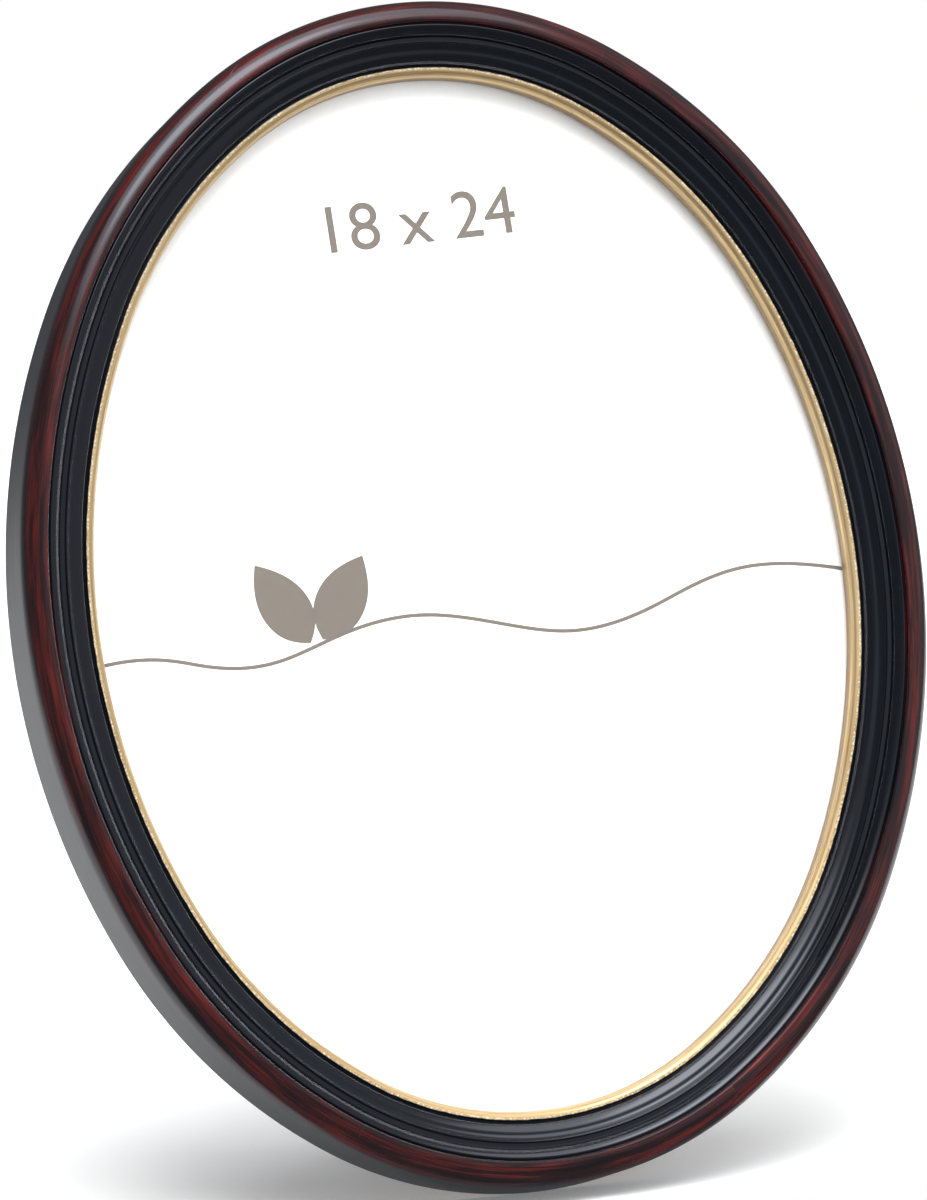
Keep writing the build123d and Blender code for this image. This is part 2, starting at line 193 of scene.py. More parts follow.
@dataclass(frozen=True)
class StainedLacquerWithGilt(Finish):
    """Hardwood moulding, lacquered black, glazed mahogany red and gilt at the lip, all by hand.

    The black is deep and satin, with a cold gleam where it turns to the light. The red glaze is
    feathered along the bead in long smudges, so that black shows through it. The lip's bronze
    leaf is smooth along the oval and frays at its border.
    """

    name: str = "lacquered_hardwood_gilt_lip"
    leaf: Pair = (2.3, 5.6)
    glaze: Pair = (16.4, 29.0)

    def paint(self, draw: Drawing) -> dict[str, object]:
        """Band the finish across the section.

        Args:
            draw: the material's drawing.

        Returns:
            Value or node for each input of the shader.
        """
        mapped = draw.add("UVMap", uv_map=Moulding.finish_map)
        metres = draw.add("SeparateXYZ", (mapped,)).outputs["Y"]
        across = draw.add("Math", (metres, 1 / MM), operation="MULTIPLY")
        joint = draw.add("Attribute", attribute_name=Moulding.joint_layer).outputs["Fac"]
        # Joint mask: marks the joint line, and also carries a painted highlight along it
        seam = draw.add("MapRange", (joint, 0.975, 0.995, 0.0, 0.3))

        strokes = draw.grain(mapped, (26.0, 0.32, 1.0), 3.0, 0.44)
        black = draw.add("ValToRGB", (strokes,), ((0.35, "#040609"), (0.65, "#080B11")))
        on_glaze, red = self.glazing(draw, mapped, across)
        glazed = draw.add("Mix", {0: on_glaze, 6: black, 7: red}, data_type="RGBA")
        on_leaf, bronze = self.gilding(draw, mapped, across, strokes)
        gilded = draw.add("Mix", {0: on_leaf, 6: glazed, 7: bronze}, data_type="RGBA")
        # The seam's grey, lighter than the black, is partly the joint line in the lacquer and partly a
        # painted highlight where the joint catches light
        seamed_with_highlight = draw.add("Mix", {0: seam, 6: gilded, 7: "#2A2A30"}, data_type="RGBA")

        metal = draw.add("Math", (on_leaf, 0.8), operation="MULTIPLY")
        satin = draw.add("MapRange", (strokes, *USUAL_NOISE, 0.16, 0.21))
        wall = draw.add("MapRange", (across, self.glaze[1] - 5.5, self.glaze[1] - 2.0, 0.0, 0.27))
        dulled = draw.add("Math", (satin, wall), operation="ADD")
        rubbed = draw.add("MapRange", (strokes, *USUAL_NOISE, 0.5, 0.4))
        gloss = draw.add("Mix", {0: on_leaf, 2: dulled, 3: rubbed}, data_type="FLOAT")
        height = draw.add("Math", (strokes, seam), operation="SUBTRACT")
        return {
            "IOR": 1.5,
            "Specular Tint": "#EAEEFA",
            "Base Color": seamed_with_highlight,
            "Metallic": metal,
            "Roughness": gloss,
            "Normal": draw.add("Bump", {"Height": height, "Distance": 0.003 * MM}),
        }

    def glazing(self, draw: Drawing, mapped: Node, across: Node) -> tuple[Node, Node]:
        """Red glaze on the bead: long smudges, short dabs and hair-fine fibres, feathered at its sides.

        Args:
            draw: the material's drawing.
            mapped: coordinates along and across the moulding, in metres.
            across: the coordinate across it, in millimetres.

        Returns:
            The glaze's share from 0 to 1 and its colour.
        """
        start, end = self.glaze
        wander = draw.grain(mapped, (34.0, 9.0, 1.0), 3.0, 0.57)
        drift = draw.add("MapRange", (wander, *USUAL_NOISE, -1.1, 1.1))
        drifting = draw.add("Math", (across, drift), operation="ADD")
        smooth = {"interpolation_type": "SMOOTHSTEP"}
        inner = draw.add("MapRange", (drifting, start - 0.8, start + 1.2), **smooth)
        outer = draw.add("MapRange", (drifting, end - 4.0, end + 0.5, 1.0, 0.0), **smooth)
        share = draw.add("Math", (inner, outer), operation="MULTIPLY")

        smudges = draw.grain(mapped, (52.0, 2.4, 1.0))
        dabs = draw.grain(mapped, (13.0, 1.0, 1.0), 4.0, 0.31)
        fibres = draw.grain(mapped, (9.0, 0.3, 1.0), 3.0, 0.23)
        broad = draw.add("Mix", {0: 0.38, 2: smudges, 3: dabs}, data_type="FLOAT")
        fine = draw.add("Mix", {0: 0.24, 2: broad, 3: fibres}, data_type="FLOAT")
        shade = draw.add("MapRange", (across, start + 4.0, end, 0.0, 0.07))
        shaded = draw.add("Math", (fine, shade), operation="SUBTRACT")
        reds = ((0.40, "#0F0A0B"), (0.48, "#200D0C"), (0.55, "#3E120E"), (0.66, "#5A1911"))
        return share, draw.add("ValToRGB", (shaded,), reds)

    def gilding(self, draw: Drawing, mapped: Node, across: Node, strokes: Node) -> tuple[Node, Node]:
        """Leaf on the lip: fine lines along the oval, a brown sight edge and a frayed, speckled border. The
        brown at the sight edge is partly the leaf's own darker edge and partly painted shade on the lip's
        inner wall.

        Args:
            draw: the material's drawing.
            mapped: coordinates along and across the moulding, in metres.
            across: the coordinate across it, in millimetres.
            strokes: the fine brush strokes along the oval.

        Returns:
            The leaf's share from 0 to 1 and its colour.
        """
        start, end = self.leaf
        torn = draw.grain(mapped, (1.8, 0.7, 1.0), 4.0, 0.12)
        fray = draw.add("MapRange", (torn, *USUAL_NOISE, -0.07, 0.07))
        frayed = draw.add("Math", (across, fray), operation="ADD")
        share = draw.add("MapRange", (frayed, end - 0.08, end + 0.08, 1.0, 0.0))

        bronzes = ((0.30, "#A18762"), (0.50, "#BCA176"), (0.70, "#D0B98F"))
        lines = draw.add("ValToRGB", (strokes,), bronzes)
        # Painted shade: the lip's inner wall and the sight edge are mixed half way to #5F4C36, partly the
        # leaf's darker edge and partly shade painted in
        painted_wall_shade = draw.add("MapRange", (across, start, start + 0.4, 0.5, 0.0))
        shaded_wall_lines = draw.add("Mix", {0: painted_wall_shade, 6: lines, 7: "#5F4C36"}, data_type="RGBA")
        flakes = draw.grain(mapped, (0.5, 0.4, 1.0), 2.0, 0.9)
        flaked = draw.add("MapRange", (flakes, 0.5, 0.6))
        border = draw.add("MapRange", (across, end - 0.6, end - 0.2))
        specks = draw.add("Math", (flaked, border), operation="MULTIPLY")
        return share, draw.add("Mix", {0: specks, 6: shaded_wall_lines, 7: "#F2E6C8"}, data_type="RGBA")


@dataclass(frozen=True)
class BareHardwood(Finish):
    """Sawn and sanded pale hardwood, such as ayous: straight grain with short fine pores, dull."""

    name: str = "bare_sanded_hardwood"

    def paint(self, draw: Drawing) -> dict[str, object]:
        """Draw the grain of the sawn board and the glue lines of its joints.

        Args:
            draw: the material's drawing.

        Returns:
            Value or node for each input of the shader.
        """
        mapped = draw.add("UVMap", uv_map=Moulding.timber_map)
        joint = draw.add("Attribute", attribute_name=Moulding.joint_layer).outputs["Fac"]
        glue = draw.add("MapRange", (joint, 0.96, 0.99, 0.0, 0.6))
        bands = draw.grain(mapped, (70.0, 2.6, 1.0))
        pores = draw.grain(mapped, (3.4, 0.2, 1.0), 2.0, 0.4)
        wood = draw.add("ValToRGB", (bands,), ((0.3, "#B5895A"), (0.5, "#C9A273"), (0.7, "#D9B98C")))
        pored = draw.add("MapRange", (pores, 0.56, 0.7, 0.0, 0.7))
        marked = draw.add("Mix", {0: pored, 6: wood, 7: "#8A6238"}, data_type="RGBA")
        return {
            "IOR": 1.45,
            "Base Color": draw.add("Mix", {0: glue, 6: marked, 7: "#5C4026"}, data_type="RGBA"),
            "Roughness": draw.add("MapRange", (pores, 0.0, 1.0, 0.55, 0.85)),
            "Normal": draw.add("Bump", {"Height": pores, "Distance": 0.05 * MM}),
        }


@dataclass(frozen=True)
class PressedSheet(Finish):
    """Paper, card or fibreboard pressed from fibres: short flecks in a plain ground, no gloss.

    The fibre's length and the relief's depth are in millimetres.
    """

    name: str = "coated_white_paper"
    ground: tuple[str, str] = ("#FAFAF8", "#FEFEFD")
    fleck: str = "#F0EFEB"
    fibre: float = 0.6
    fleck_share: float = 0.4
    gloss: Pair = (0.55, 0.65)
    depth: float = 0.01

    def paint(self, draw: Drawing) -> dict[str, object]:
        """Scatter the fibres in all directions.

        Args:
            draw: the material's drawing.

        Returns:
            Value or node for each input of the shader.
        """
        place = draw.add("TexCoord").outputs["Object"]
        long, short = self.fibre * 3, self.fibre * 0.6
        cloud = draw.grain(place, (14 * self.fibre, 14 * self.fibre, 14 * self.fibre), 2.0)
        threads = draw.grain(place, (long, short, self.fibre), 3.0, 0.2)
        crossing = draw.grain(place, (short, self.fibre, long), 3.0, 0.8)
        fibres = draw.add("Math", (threads, crossing), operation="MAXIMUM")
        base = draw.add("ValToRGB", (cloud,), tuple(zip(USUAL_NOISE, self.ground)))
        flecked = draw.add("MapRange", (fibres, 0.55, 0.72, 0.0, self.fleck_share))
        return {
            "IOR": 1.45,
            "Base Color": draw.add("Mix", {0: flecked, 6: base, 7: self.fleck}, data_type="RGBA"),
            "Roughness": draw.add("MapRange", (fibres, *USUAL_NOISE, *self.gloss)),
            "Normal": draw.add("Bump", {"Height": fibres, "Distance": self.depth * MM}),
        }


@dataclass(frozen=True)
class CloudedFilm(Finish):
    """Clear or inked film: one clouded pattern thins its colour and its gloss.

    The cloud's size is in millimetres. Each span gives where the cloud's values start and end.
    """

    size: float = 1.0
    detail: float = 3.0
    tones: tuple[str, str] = ("#FFFFFF", "#F0F0F0")
    tone_span: Pair = USUAL_NOISE
    gloss: Pair = (0.4, 0.6)
    gloss_span: Pair = (0.0, 1.0)
    refraction: float = 1.45
    mirror: float = 0.5
    cover: float = 1.0

    def paint(self, draw: Drawing) -> dict[str, object]:
        """Cloud the film.

        Args:
            draw: the material's drawing.

        Returns:
            Value or node for each input of the shader.
        """
        place = draw.add("TexCoord").outputs["Object"]
        cloud = draw.grain(place, (self.size, self.size, self.size), self.detail)
        return {
            "Alpha": self.cover,
            "IOR": self.refraction,
            "Specular IOR Level": self.mirror,
            "Base Color": draw.add("ValToRGB", (cloud,), tuple(zip(self.tone_span, self.tones))),
            "Roughness": draw.add("MapRange", (cloud, *self.gloss_span, *self.gloss)),
        }


@dataclass(frozen=True)
class PlatedSteel(Finish):
    """Stamped steel under a thin bright plating: rolled lines, small wear, clouded gloss."""

    name: str = "zinc_plated_steel"
    coating: Coating = Coating.ZINC
    gloss: Pair = (0.26, 0.44)
    line: float = 0.25

    def paint(self, draw: Drawing) -> dict[str, object]:
        """Cloud the plating and roll fine lines into it.

        Args:
            draw: the material's drawing.

        Returns:
            Value or node for each input of the shader.
        """
        place = draw.add("TexCoord").outputs["Object"]
        cloud = draw.grain(place, (5.0, 5.0, 5.0), 4.0)
        lines = draw.grain(place, (self.line, self.line * 14, self.line * 14), 3.0, 0.5)
        mix = draw.add("Mix", {0: 0.5, 2: cloud, 3: lines}, data_type="FLOAT")
        return {
            "Metallic": 1.0,
            "Base Color": draw.add("ValToRGB", (cloud,), tuple(zip((0.28, 0.5, 0.75), self.coating.value))),
            "Roughness": draw.add("MapRange", (mix, *USUAL_NOISE, *self.gloss)),
            "Normal": draw.add("Bump", {"Height": lines, "Distance": 0.006 * MM}),
        }


# Clear float glass, 2 mm: nearly unseen over white paper, with a faint green and a clean, dusty gloss
FLOAT_GLASS = CloudedFilm(
    "clear_float_glass", 24.0, 3.0, ("#FBFEFC", "#F6FBF8"), (0.2, 0.8), (0.02, 0.05), (0.3, 0.8),
    refraction=1.52, cover=0.06,
)
# Offset ink in a warm taupe: a fine dot screen, drawn coarser than real so that it shows
TAUPE_INK = CloudedFilm("taupe_offset_ink", 0.35, 2.0, ("#4B3B2C", "#574534"), gloss=(0.45, 0.65), mirror=0.1)
WHITE_PAPER = PressedSheet()
GREY_CARD = PressedSheet("grey_pulp_card", ("#8F8D88", "#A09E98"), "#6E6C68", 1.2, 0.7, (0.8, 0.9), 0.03)
WHITE_FOAM = PressedSheet("white_foam_board", ("#ECECE8", "#F6F6F3"), "#DCDCD6", 0.8, 0.6, (0.7, 0.85), 0.05)
BLACK_BOARD = PressedSheet(
    "black_faced_fibreboard", ("#1C1A19", "#262422"), "#3A3633", 0.7, 0.35, (0.5, 0.62), 0.02
)
RAW_BOARD = PressedSheet(
    "sawn_fibreboard_edge", ("#8A6A4C", "#A07E5C"), "#5E4530", 0.5, 0.7, (0.8, 0.9), 0.03
)
HINGE_ZINC = PlatedSteel()
RIVET_NICKEL = PlatedSteel("nickel_plated_rivet", Coating.NICKEL, (0.18, 0.32), 0.2)
SCREW_BRASS = PlatedSteel("brass_plated_screw", Coating.BRASS, (0.2, 0.34), 0.2)
BUTTON_BRASS = PlatedSteel("brass_plated_stamping", Coating.BRASS, (0.26, 0.42), 0.3)
HANGER_NICKEL = PlatedSteel("nickel_plated_hanger", Coating.NICKEL, (0.2, 0.36), 0.25)


# The space that the frame is drawn in


def heading(angle: float) -> Vector:
    """Unit vector at an angle in degrees from x towards y."""
    return Vector((cos(radians(angle)), sin(radians(angle)), 0))


def turned_by(angle: float, axis: str = "Z") -> Matrix:
    """Turn by an angle in degrees about an axis."""
    return Matrix.Rotation(radians(angle), 4, axis)


def moved_by(x: float, y: float, z: float) -> Matrix:
    """Move by three distances in millimetres."""
    return Matrix.Translation((x * MM, y * MM, z * MM))


@dataclass(frozen=True)
class FrameSpace:
    """Lying space of the frame in metres: x right, y up the picture, z out from the sight edge."""

    to_row: Matrix

    @classmethod
    def of(cls, joints: list[dict], glass_depth: float) -> "FrameSpace":
        """Find the space from the pivot of a turn button and the place of the glass.

        Args:
            joints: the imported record's joints.
            glass_depth: depth of the pane's middle under the sight edge, in millimetres.

        Returns:
            The space.
        """
        pivot = next(joint for joint in joints if joint["name"] == "turn_button_1_pivot")
        outward = -Vector(pivot["axis"]).normalized()
        right = Vector((1, 0, 0))
        low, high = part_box("glass_pane")
        origin = (low + high) / 2 + outward * glass_depth * MM
        turn = Matrix((right, outward.cross(right), outward)).transposed().to_4x4()
        return cls(Matrix.Translation(origin) @ turn)

    def place(self, x: float, y: float, z: float, spin: float = 0.0, tilt: float = 0.0) -> Matrix:
        """Place in the row frame, by millimetres and degrees, of a fitting drawn at the origin."""
        turn = turned_by(spin) @ turned_by(tilt, "X")
        return self.to_row @ moved_by(x, y, z) @ turn


@dataclass(frozen=True)
class Arc:
    """One arc of the oval in the lying space, in millimetres and degrees."""

    centre: Vector
    radius: float
    start: float
    sweep: float


@dataclass(frozen=True)
class Oval:
    """Sight oval of tangent arcs, in millimetres and degrees."""

    half_width: float = 85.0
    half_height: float = 115.0
    flank_end: float = 26.0
    shoulder_end: float = 56.0

    def arcs(self) -> list[Arc]:
        """The eight arcs in order, from the lower end of the right flank.

        Returns:
            The arcs, each starting where the one before ends.
        """
        flank_x, flank_y = cos(radians(self.flank_end)), sin(radians(self.flank_end))
        shoulder_x, shoulder_y = cos(radians(self.shoulder_end)), sin(radians(self.shoulder_end))
        between = radians((self.flank_end + self.shoulder_end) / 2)
        spread = hypot(self.half_width * cos(between), self.half_height * sin(between))
        middle = (self.half_width * self.half_height) ** 2 / spread ** 3  # as the true ellipse curves there
        across = self.half_width - middle * (flank_x - shoulder_x)
        along = self.half_height - middle * (shoulder_y - flank_y)
        whole = (1 - flank_x) * (1 - shoulder_y) - shoulder_x * flank_y
        flat = (across * (1 - shoulder_y) - shoulder_x * along) / whole
        tight = ((1 - flank_x) * along - across * flank_y) / whole
        flat_centre = Vector((self.half_width - flat, 0, 0))
        middle_centre = flat_centre + (flat - middle) * Vector((flank_x, flank_y, 0))
        mirrored_centre = Vector((-middle_centre.x, middle_centre.y, 0))
        tight_centre = Vector((0, self.half_height - tight, 0))
        turn = self.shoulder_end - self.flank_end
        arcs = []
        for side, flip in ((0, 1), (180, -1)):
            arcs += [
                Arc(flat_centre * flip, flat, side - self.flank_end, 2 * self.flank_end),
                Arc(middle_centre * flip, middle, side + self.flank_end, turn),
                Arc(tight_centre * flip, tight, side + self.shoulder_end, 180 - 2 * self.shoulder_end),
                Arc(mirrored_centre * flip, middle, side + 180 - self.shoulder_end, turn),
            ]
        return arcs

    def place(self, angle: float, offset: float) -> Vector:
        """Point at an offset outside the sight edge, where the oval's outward direction is the angle."""
        arc = next(arc for arc in self.arcs() if (angle - arc.start) % 360 <= arc.sweep)
        return arc.centre + heading(angle) * (arc.radius + offset)

    def stretch(self, first: float, last: float, breaks: tuple[float, ...] = ()) -> list[Arc]:
        """The arcs between two directions.

        Args:
            first: direction of the start, in degrees.
            last: direction of the end, more than the start.
            breaks: directions at which an arc is divided.

        Returns:
            The arcs in order.
        """
        touch, shortest = 1e-9, 1e-6
        found = []
        for turn in (-360, 0, 360):
            for arc in self.arcs():
                start, end = arc.start + turn, arc.start + arc.sweep + turn
                low, high = max(first, start) - touch, min(last, end) + touch
                cuts = [cut for cut in sorted({first, last, *breaks, start, end}) if low <= cut <= high]
                found += [
                    Arc(arc.centre, arc.radius, a, b - a) for a, b in zip(cuts, cuts[1:]) if b - a > shortest
                ]
        return sorted(found, key=lambda arc: arc.start)


# What the pieces are made with


def only(kind: type, parts: list) -> list:
    """Those parts of a mesh that are of one kind."""
    return [part for part in parts if isinstance(part, kind)]


def swept(mesh: Mesh, parts: list, centre: Vector, axis: Triple, angle: float, steps: int) -> list:
    """Sweep vertices and edges of a mesh about an axis.

    Args:
        mesh: the mesh.
        parts: its vertices and edges to sweep.
        centre: a point of the axis, in metres.
        axis: the axis.
        angle: degrees, where a full turn closes on its start.
        steps: divisions of the sweep.

    Returns:
        The vertices and edges at the end.
    """
    made = bmesh.ops.spin(
        mesh, geom=parts, cent=centre, axis=axis, dvec=(0, 0, 0), angle=radians(angle), steps=steps,
        use_merge=angle == 360, use_duplicate=False,
    )
    return [part for part in made["geom_last"] if not isinstance(part, Face)]


def ease_off(mesh: Mesh, parts: list, width: float, segments: int, corners: bool = False) -> None:
    """Ease edges of a mesh, or corners of a line, by a width in millimetres."""
    bmesh.ops.bevel(
        mesh, geom=parts, offset=width * MM, offset_type="OFFSET", affect="VERTICES" if corners else "EDGES",
        segments=segments, profile=0.5, material=-1, clamp_overlap=True,
    )


def closed(mesh: Mesh, merge: float = 0.0) -> Mesh:
    """Close a mesh's seams and turn its faces outwards.

    Args:
        mesh: the mesh.
        merge: millimetres within which points are one, or 0 where there is no seam.

    Returns:
        The same mesh.
    """
    if merge:
        bmesh.ops.remove_doubles(mesh, verts=mesh.verts, dist=merge * MM)
    bmesh.ops.recalc_face_normals(mesh, faces=mesh.faces)
    return mesh


def turned(outline: tuple[Pair, ...], steps: int = 32) -> Mesh:
    """Mesh turned about the z axis.

    Args:
        outline: radius and height pairs in millimetres, from axis to axis.
        steps: divisions round the axis.

    Returns:
        The mesh, in metres.
    """
    mesh = bmesh.new()
    line = [mesh.verts.new((radius * MM, 0, height * MM)) for radius, height in outline]
    edges = [mesh.edges.new(pair) for pair in zip(line, line[1:])]
    swept(mesh, line + edges, Vector(), (0, 0, 1), 360, steps)
    return closed(mesh, AXIS_MERGE)


def gathered(parts: list[tuple[Mesh, Matrix]]) -> Mesh:
    """One mesh of several, each put in its place.

    Args:
        parts: meshes, which are used up, with their places.

    Returns:
        The mesh.
    """
    whole = bmesh.new()
    for part, place in parts:
        bmesh.ops.transform(part, matrix=place, verts=part.verts)
        data = bpy.data.meshes.new("part")
        part.to_mesh(data)
        part.free()
        whole.from_mesh(data)
        bpy.data.meshes.remove(data)
    return whole


def stand(name: str, data: bpy.types.ID) -> Object:
    """Put a new object with its data into the scene.

    Args:
        name: the object's name.
        data: its mesh, curve, light or camera.

    Returns:
        The object.
    """
    made = bpy.data.objects.new(name, data)
    bpy.context.scene.collection.objects.link(made)
    return made


def stand_mesh(name: str, mesh: Mesh, finishes: list[Finish]) -> Object:
    """Put a mesh with its finishes into the scene.

    Args:
        name: the object's name.
        mesh: the mesh, which is used up.
        finishes: finish of each material number.

    Returns:
        The object.
    """
    data = bpy.data.meshes.new(name)
    mesh.to_mesh(data)
    mesh.free()
    for finish in finishes:
        data.materials.append(finish.material())
    return stand(name, data)


@dataclass
class Workshop:
    """Turns meshes drawn in the lying space, in metres, into named pieces of the frame.

    Its own limits for CAD shapes are in millimetres and degrees, and for a board's sides a cosine.
    """

    space: FrameSpace
    nodes: dict[str, Object]
    merge: float = 0.002
    flat_angle: float = 0.5
    sharp_angle: float = 40.0
    side_cosine: float = 0.6

    def piece(
        self, name: str, mesh: Mesh, finishes: list[Finish], body: str, slot: str,
        crease: float = 20.0, replaced: tuple[str, ...] = (), in_row: bool = False,
    ) -> Object:
        """Finish a mesh as a piece that rides on a body.

        Args:
            name: the piece's name.
            mesh: the mesh, which is used up.
            finishes: finish of each material number.
            body: CAD body that it rides on.
            slot: the record's material slot; not used.
            crease: angle in degrees past which an edge stays sharp.
            replaced: CAD nodes that the piece stands for.
            in_row: True if the mesh is in the row frame already.

        Returns:
            The piece's object.
        """
        if not in_row:
            bmesh.ops.transform(mesh, matrix=self.space.to_row, verts=mesh.verts)
        made = stand_mesh(name, mesh, finishes)
        made.data.shade_smooth()
        made.data.set_sharp_from_angle(angle=radians(crease))
        if replaced:
            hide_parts(*replaced)
        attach(made, body)
        log.info("%s: %d faces on %s", name, len(made.data.polygons), body)
        return made

    def fitting(self, node: str, suffix: str, parts: list, finish: Finish, body: str, slot: str) -> Object:
        """Piece of round parts, each with its place in the row frame, that stands for a CAD node."""
        name = f"{node}_{suffix}"
        return self.piece(name, gathered(parts), [finish], body, slot, ROUND_CREASE, (node,), True)

    def eased(
        self, node: str, finish: Finish, body: str, slot: str, ease: float = 0.12, sawn: Finish | None = None
    ) -> Object:
        """Piece in a CAD node's shape whose sharp edges are eased.

        Args:
            node: the CAD node's name.
            finish: the piece's finish.
            body: CAD body that it rides on.
            slot: the record's material slot; not used.
            ease: width of the eased edge in millimetres.
            sawn: finish of a board's sawn sides, where they differ from its faces.

        Returns:
            The piece's object.
        """
        mesh = bmesh.new()
        mesh.from_mesh(self.nodes[node].data)
        bmesh.ops.remove_doubles(mesh, verts=mesh.verts, dist=self.merge * MM)
        bmesh.ops.dissolve_limit(
            mesh, angle_limit=radians(self.flat_angle), verts=mesh.verts, edges=mesh.edges,
            use_dissolve_boundaries=False,
        )
        limit = radians(self.sharp_angle)
        sharp = [edge for edge in mesh.edges if edge.is_manifold and edge.calc_face_angle() > limit]
        ease_off(mesh, sharp, ease, 2)
        finishes = [finish]
        if sawn is not None:
            finishes.append(sawn)
            mesh.normal_update()
            faced = max(mesh.faces, key=lambda face: face.calc_area()).normal.copy()
            for face in mesh.faces:
                face.material_index = int(abs(face.normal.dot(faced)) < self.side_cosine)
        return self.piece(f"{node}_eased", mesh, finishes, body, slot, replaced=(node,), in_row=True)

    def dress(self, node: str, finish: Finish) -> None:
        """Give a CAD node that keeps its shape its finish.

        Args:
            node: the CAD node's name.
            finish: the finish.
        """
        data = self.nodes[node].data
        data.materials.clear()
        data.materials.append(finish.material())
        log.info("%s: dressed", node)


# The moulding


@dataclass
class Moulding:
    """Four lengths of one section, finger-jointed to an oval, in millimetres and degrees.

    The section's corners are rows of offset, height and ease. The band marks are the points of the
    section where leaf and glaze start and end and where bare wood starts.
    """

    finish_map = "finish"
    timber_map = "timber"
    joint_layer = "joint"
    station_layer = "station"

    oval: Oval
    bead_centre: Pair = (11.8, 2.5)
    bead_radius: float = 5.0
    bead_steps: int = 16
    back: float = -15.2
    reference_offset: float = 8.0
    outer_offset: float = 16.0
    joint_angle: float = 60.0
    joint_slack: float = 4.0
    joint_step: float = 0.7
    finger_length: float = 7.0
    finger_count: int = 3
    finger_tip_share: float = 0.12
    step_length: float = 1.6
    cut_merge: float = 0.02
    ease_steps: int = 3
    bare_margin: float = 0.1
    crease: float = 50.0
    front: tuple[Triple, ...] = (
        (0.0, -2.4, 0.1), (0.0, 0.0, 0.12), (0.42, 1.61, 0.4), (1.155, 2.23, 0.3), (2.1, 2.3, 0.12),
        (2.5, 1.95, 0.1), (3.3, 3.2, 0.15), (4.65, 3.9, 0.4), (5.87, 4.01, 0.5), (7.0, 5.0, 0.1),
        (7.36, 4.6, 0.1), (8.3, 4.6, 0.1), (8.8, 5.4, 0.14), (9.7, 6.36, 0.4), (10.75, 6.85, 0.3),
        (11.3, 6.3, 0.12), (11.4, 7.14, 0.1), (11.8, 7.5, 0.1),
    )
    rear: tuple[Triple, ...] = (
        (16.8, -14.4, 0.2), (16.0, -15.2, 0.2), (9.0, -15.2, 0.1),
        (9.0, -12.2, 0.0), (5.5, -12.2, 0.1), (5.5, -2.4, 0.0),
    )
    band_marks: tuple[Pair, ...] = ((0.0, 0.0), (2.0, 2.3), (11.35, 6.5), (16.8, 0.0), (16.0, -15.2))

    def finger_levels(self) -> list[Pair]:
        """Heights at which the joint's line turns, each with the joint's reach there.

        Returns:
            Height and reach towards the crown, in millimetres.
        """
        pitch = (self.bead_centre[1] + self.bead_radius - self.back) / self.finger_count
        tip, tongue = pitch * self.finger_tip_share, self.finger_length / 2
        levels = []
        for floor in (self.back + number * pitch for number in range(self.finger_count)):
            levels += [(floor + tip, -tongue), (floor + pitch / 2 - tip, tongue)]
            levels += [(floor + pitch / 2 + tip, tongue), (floor + pitch - tip, -tongue)]
        return levels

    def finger_reach(self, height: float) -> float:
        """How far the joint's line lies towards the crown at a height.

        Args:
            height: millimetres over the sight edge.

        Returns:
            The reach in millimetres, less than zero away from the crown.
        """
        levels = self.finger_levels()
        height = min(max(height, levels[0][0]), levels[-1][0])
        (low, start), (high, end) = next(step for step in zip(levels, levels[1:]) if height <= step[1][0])
        return start + (end - start) * (height - low) / (high - low)

    def section(self) -> tuple[Mesh, list[Vert]]:
        """Closed line of the section in the xz plane, with its stations.

        Returns:
            The mesh and its vertices in order, from the foot of the lip and up it first.
        """
        mesh = bmesh.new()
        station = mesh.verts.layers.float.new(self.station_layer)
        mesh.verts.layers.float.new(self.joint_layer)
        mesh.loops.layers.uv.new(self.finish_map)
        mesh.loops.layers.uv.new(self.timber_map)
        groups = {}
        chain = []
        for offset, height, ease in self.front + self.rear:
            chain.append(mesh.verts.new((offset * MM, 0, height * MM)))
            groups.setdefault(ease, []).append(chain[-1])
        foot, bead_start = chain[0], chain[len(self.front) - 1]
        centre = Vector((self.bead_centre[0] * MM, 0, self.bead_centre[1] * MM))
        bead_end = swept(mesh, [bead_start], centre, (0, 1, 0), 90, self.bead_steps)[0]
        for before, after in zip(chain, chain[1:] + chain[:1]):
            mesh.edges.new((bead_end if before is bead_start else before, after))
        for level, _ in self.finger_levels():
            bmesh.ops.bisect_plane(
                mesh, geom=mesh.verts[:] + mesh.edges[:], dist=self.cut_merge * MM,
                plane_co=(0, 0, level * MM), plane_no=(0, 0, 1),
            )
        for ease, corners in groups.items():
            if ease:
                kept = [corner for corner in corners if corner.is_valid and corner is not foot]
                ease_off(mesh, kept, ease, self.ease_steps, corners=True)

        order = [foot]
        ahead = max((edge.other_vert(foot) for edge in foot.link_edges), key=lambda vertex: vertex.co.z)
        while ahead is not foot:
            ahead[station] = order[-1][station] + (ahead.co - order[-1].co).length
            order.append(ahead)
            others = [edge.other_vert(ahead) for edge in ahead.link_edges]
            ahead = others[1] if others[0] is order[-2] else others[0]
        return mesh, order

    def bands(self) -> tuple[Pair, Pair, float]:
        """Stations across the section, in millimetres, where the finishes change.

        Returns:
            Start and end of the gilt, the same of the red glaze, and the start of bare wood.
        """
        mesh, order = self.section()
        station = mesh.verts.layers.float[self.station_layer]
        found = []
        for offset, height in self.band_marks:
            mark = Vector((offset * MM, 0, height * MM))
            found.append(min(order, key=lambda vertex: (vertex.co - mark).length)[station] / MM)
        mesh.free()
        return (found[0], found[1]), (found[2], found[3]), found[4]

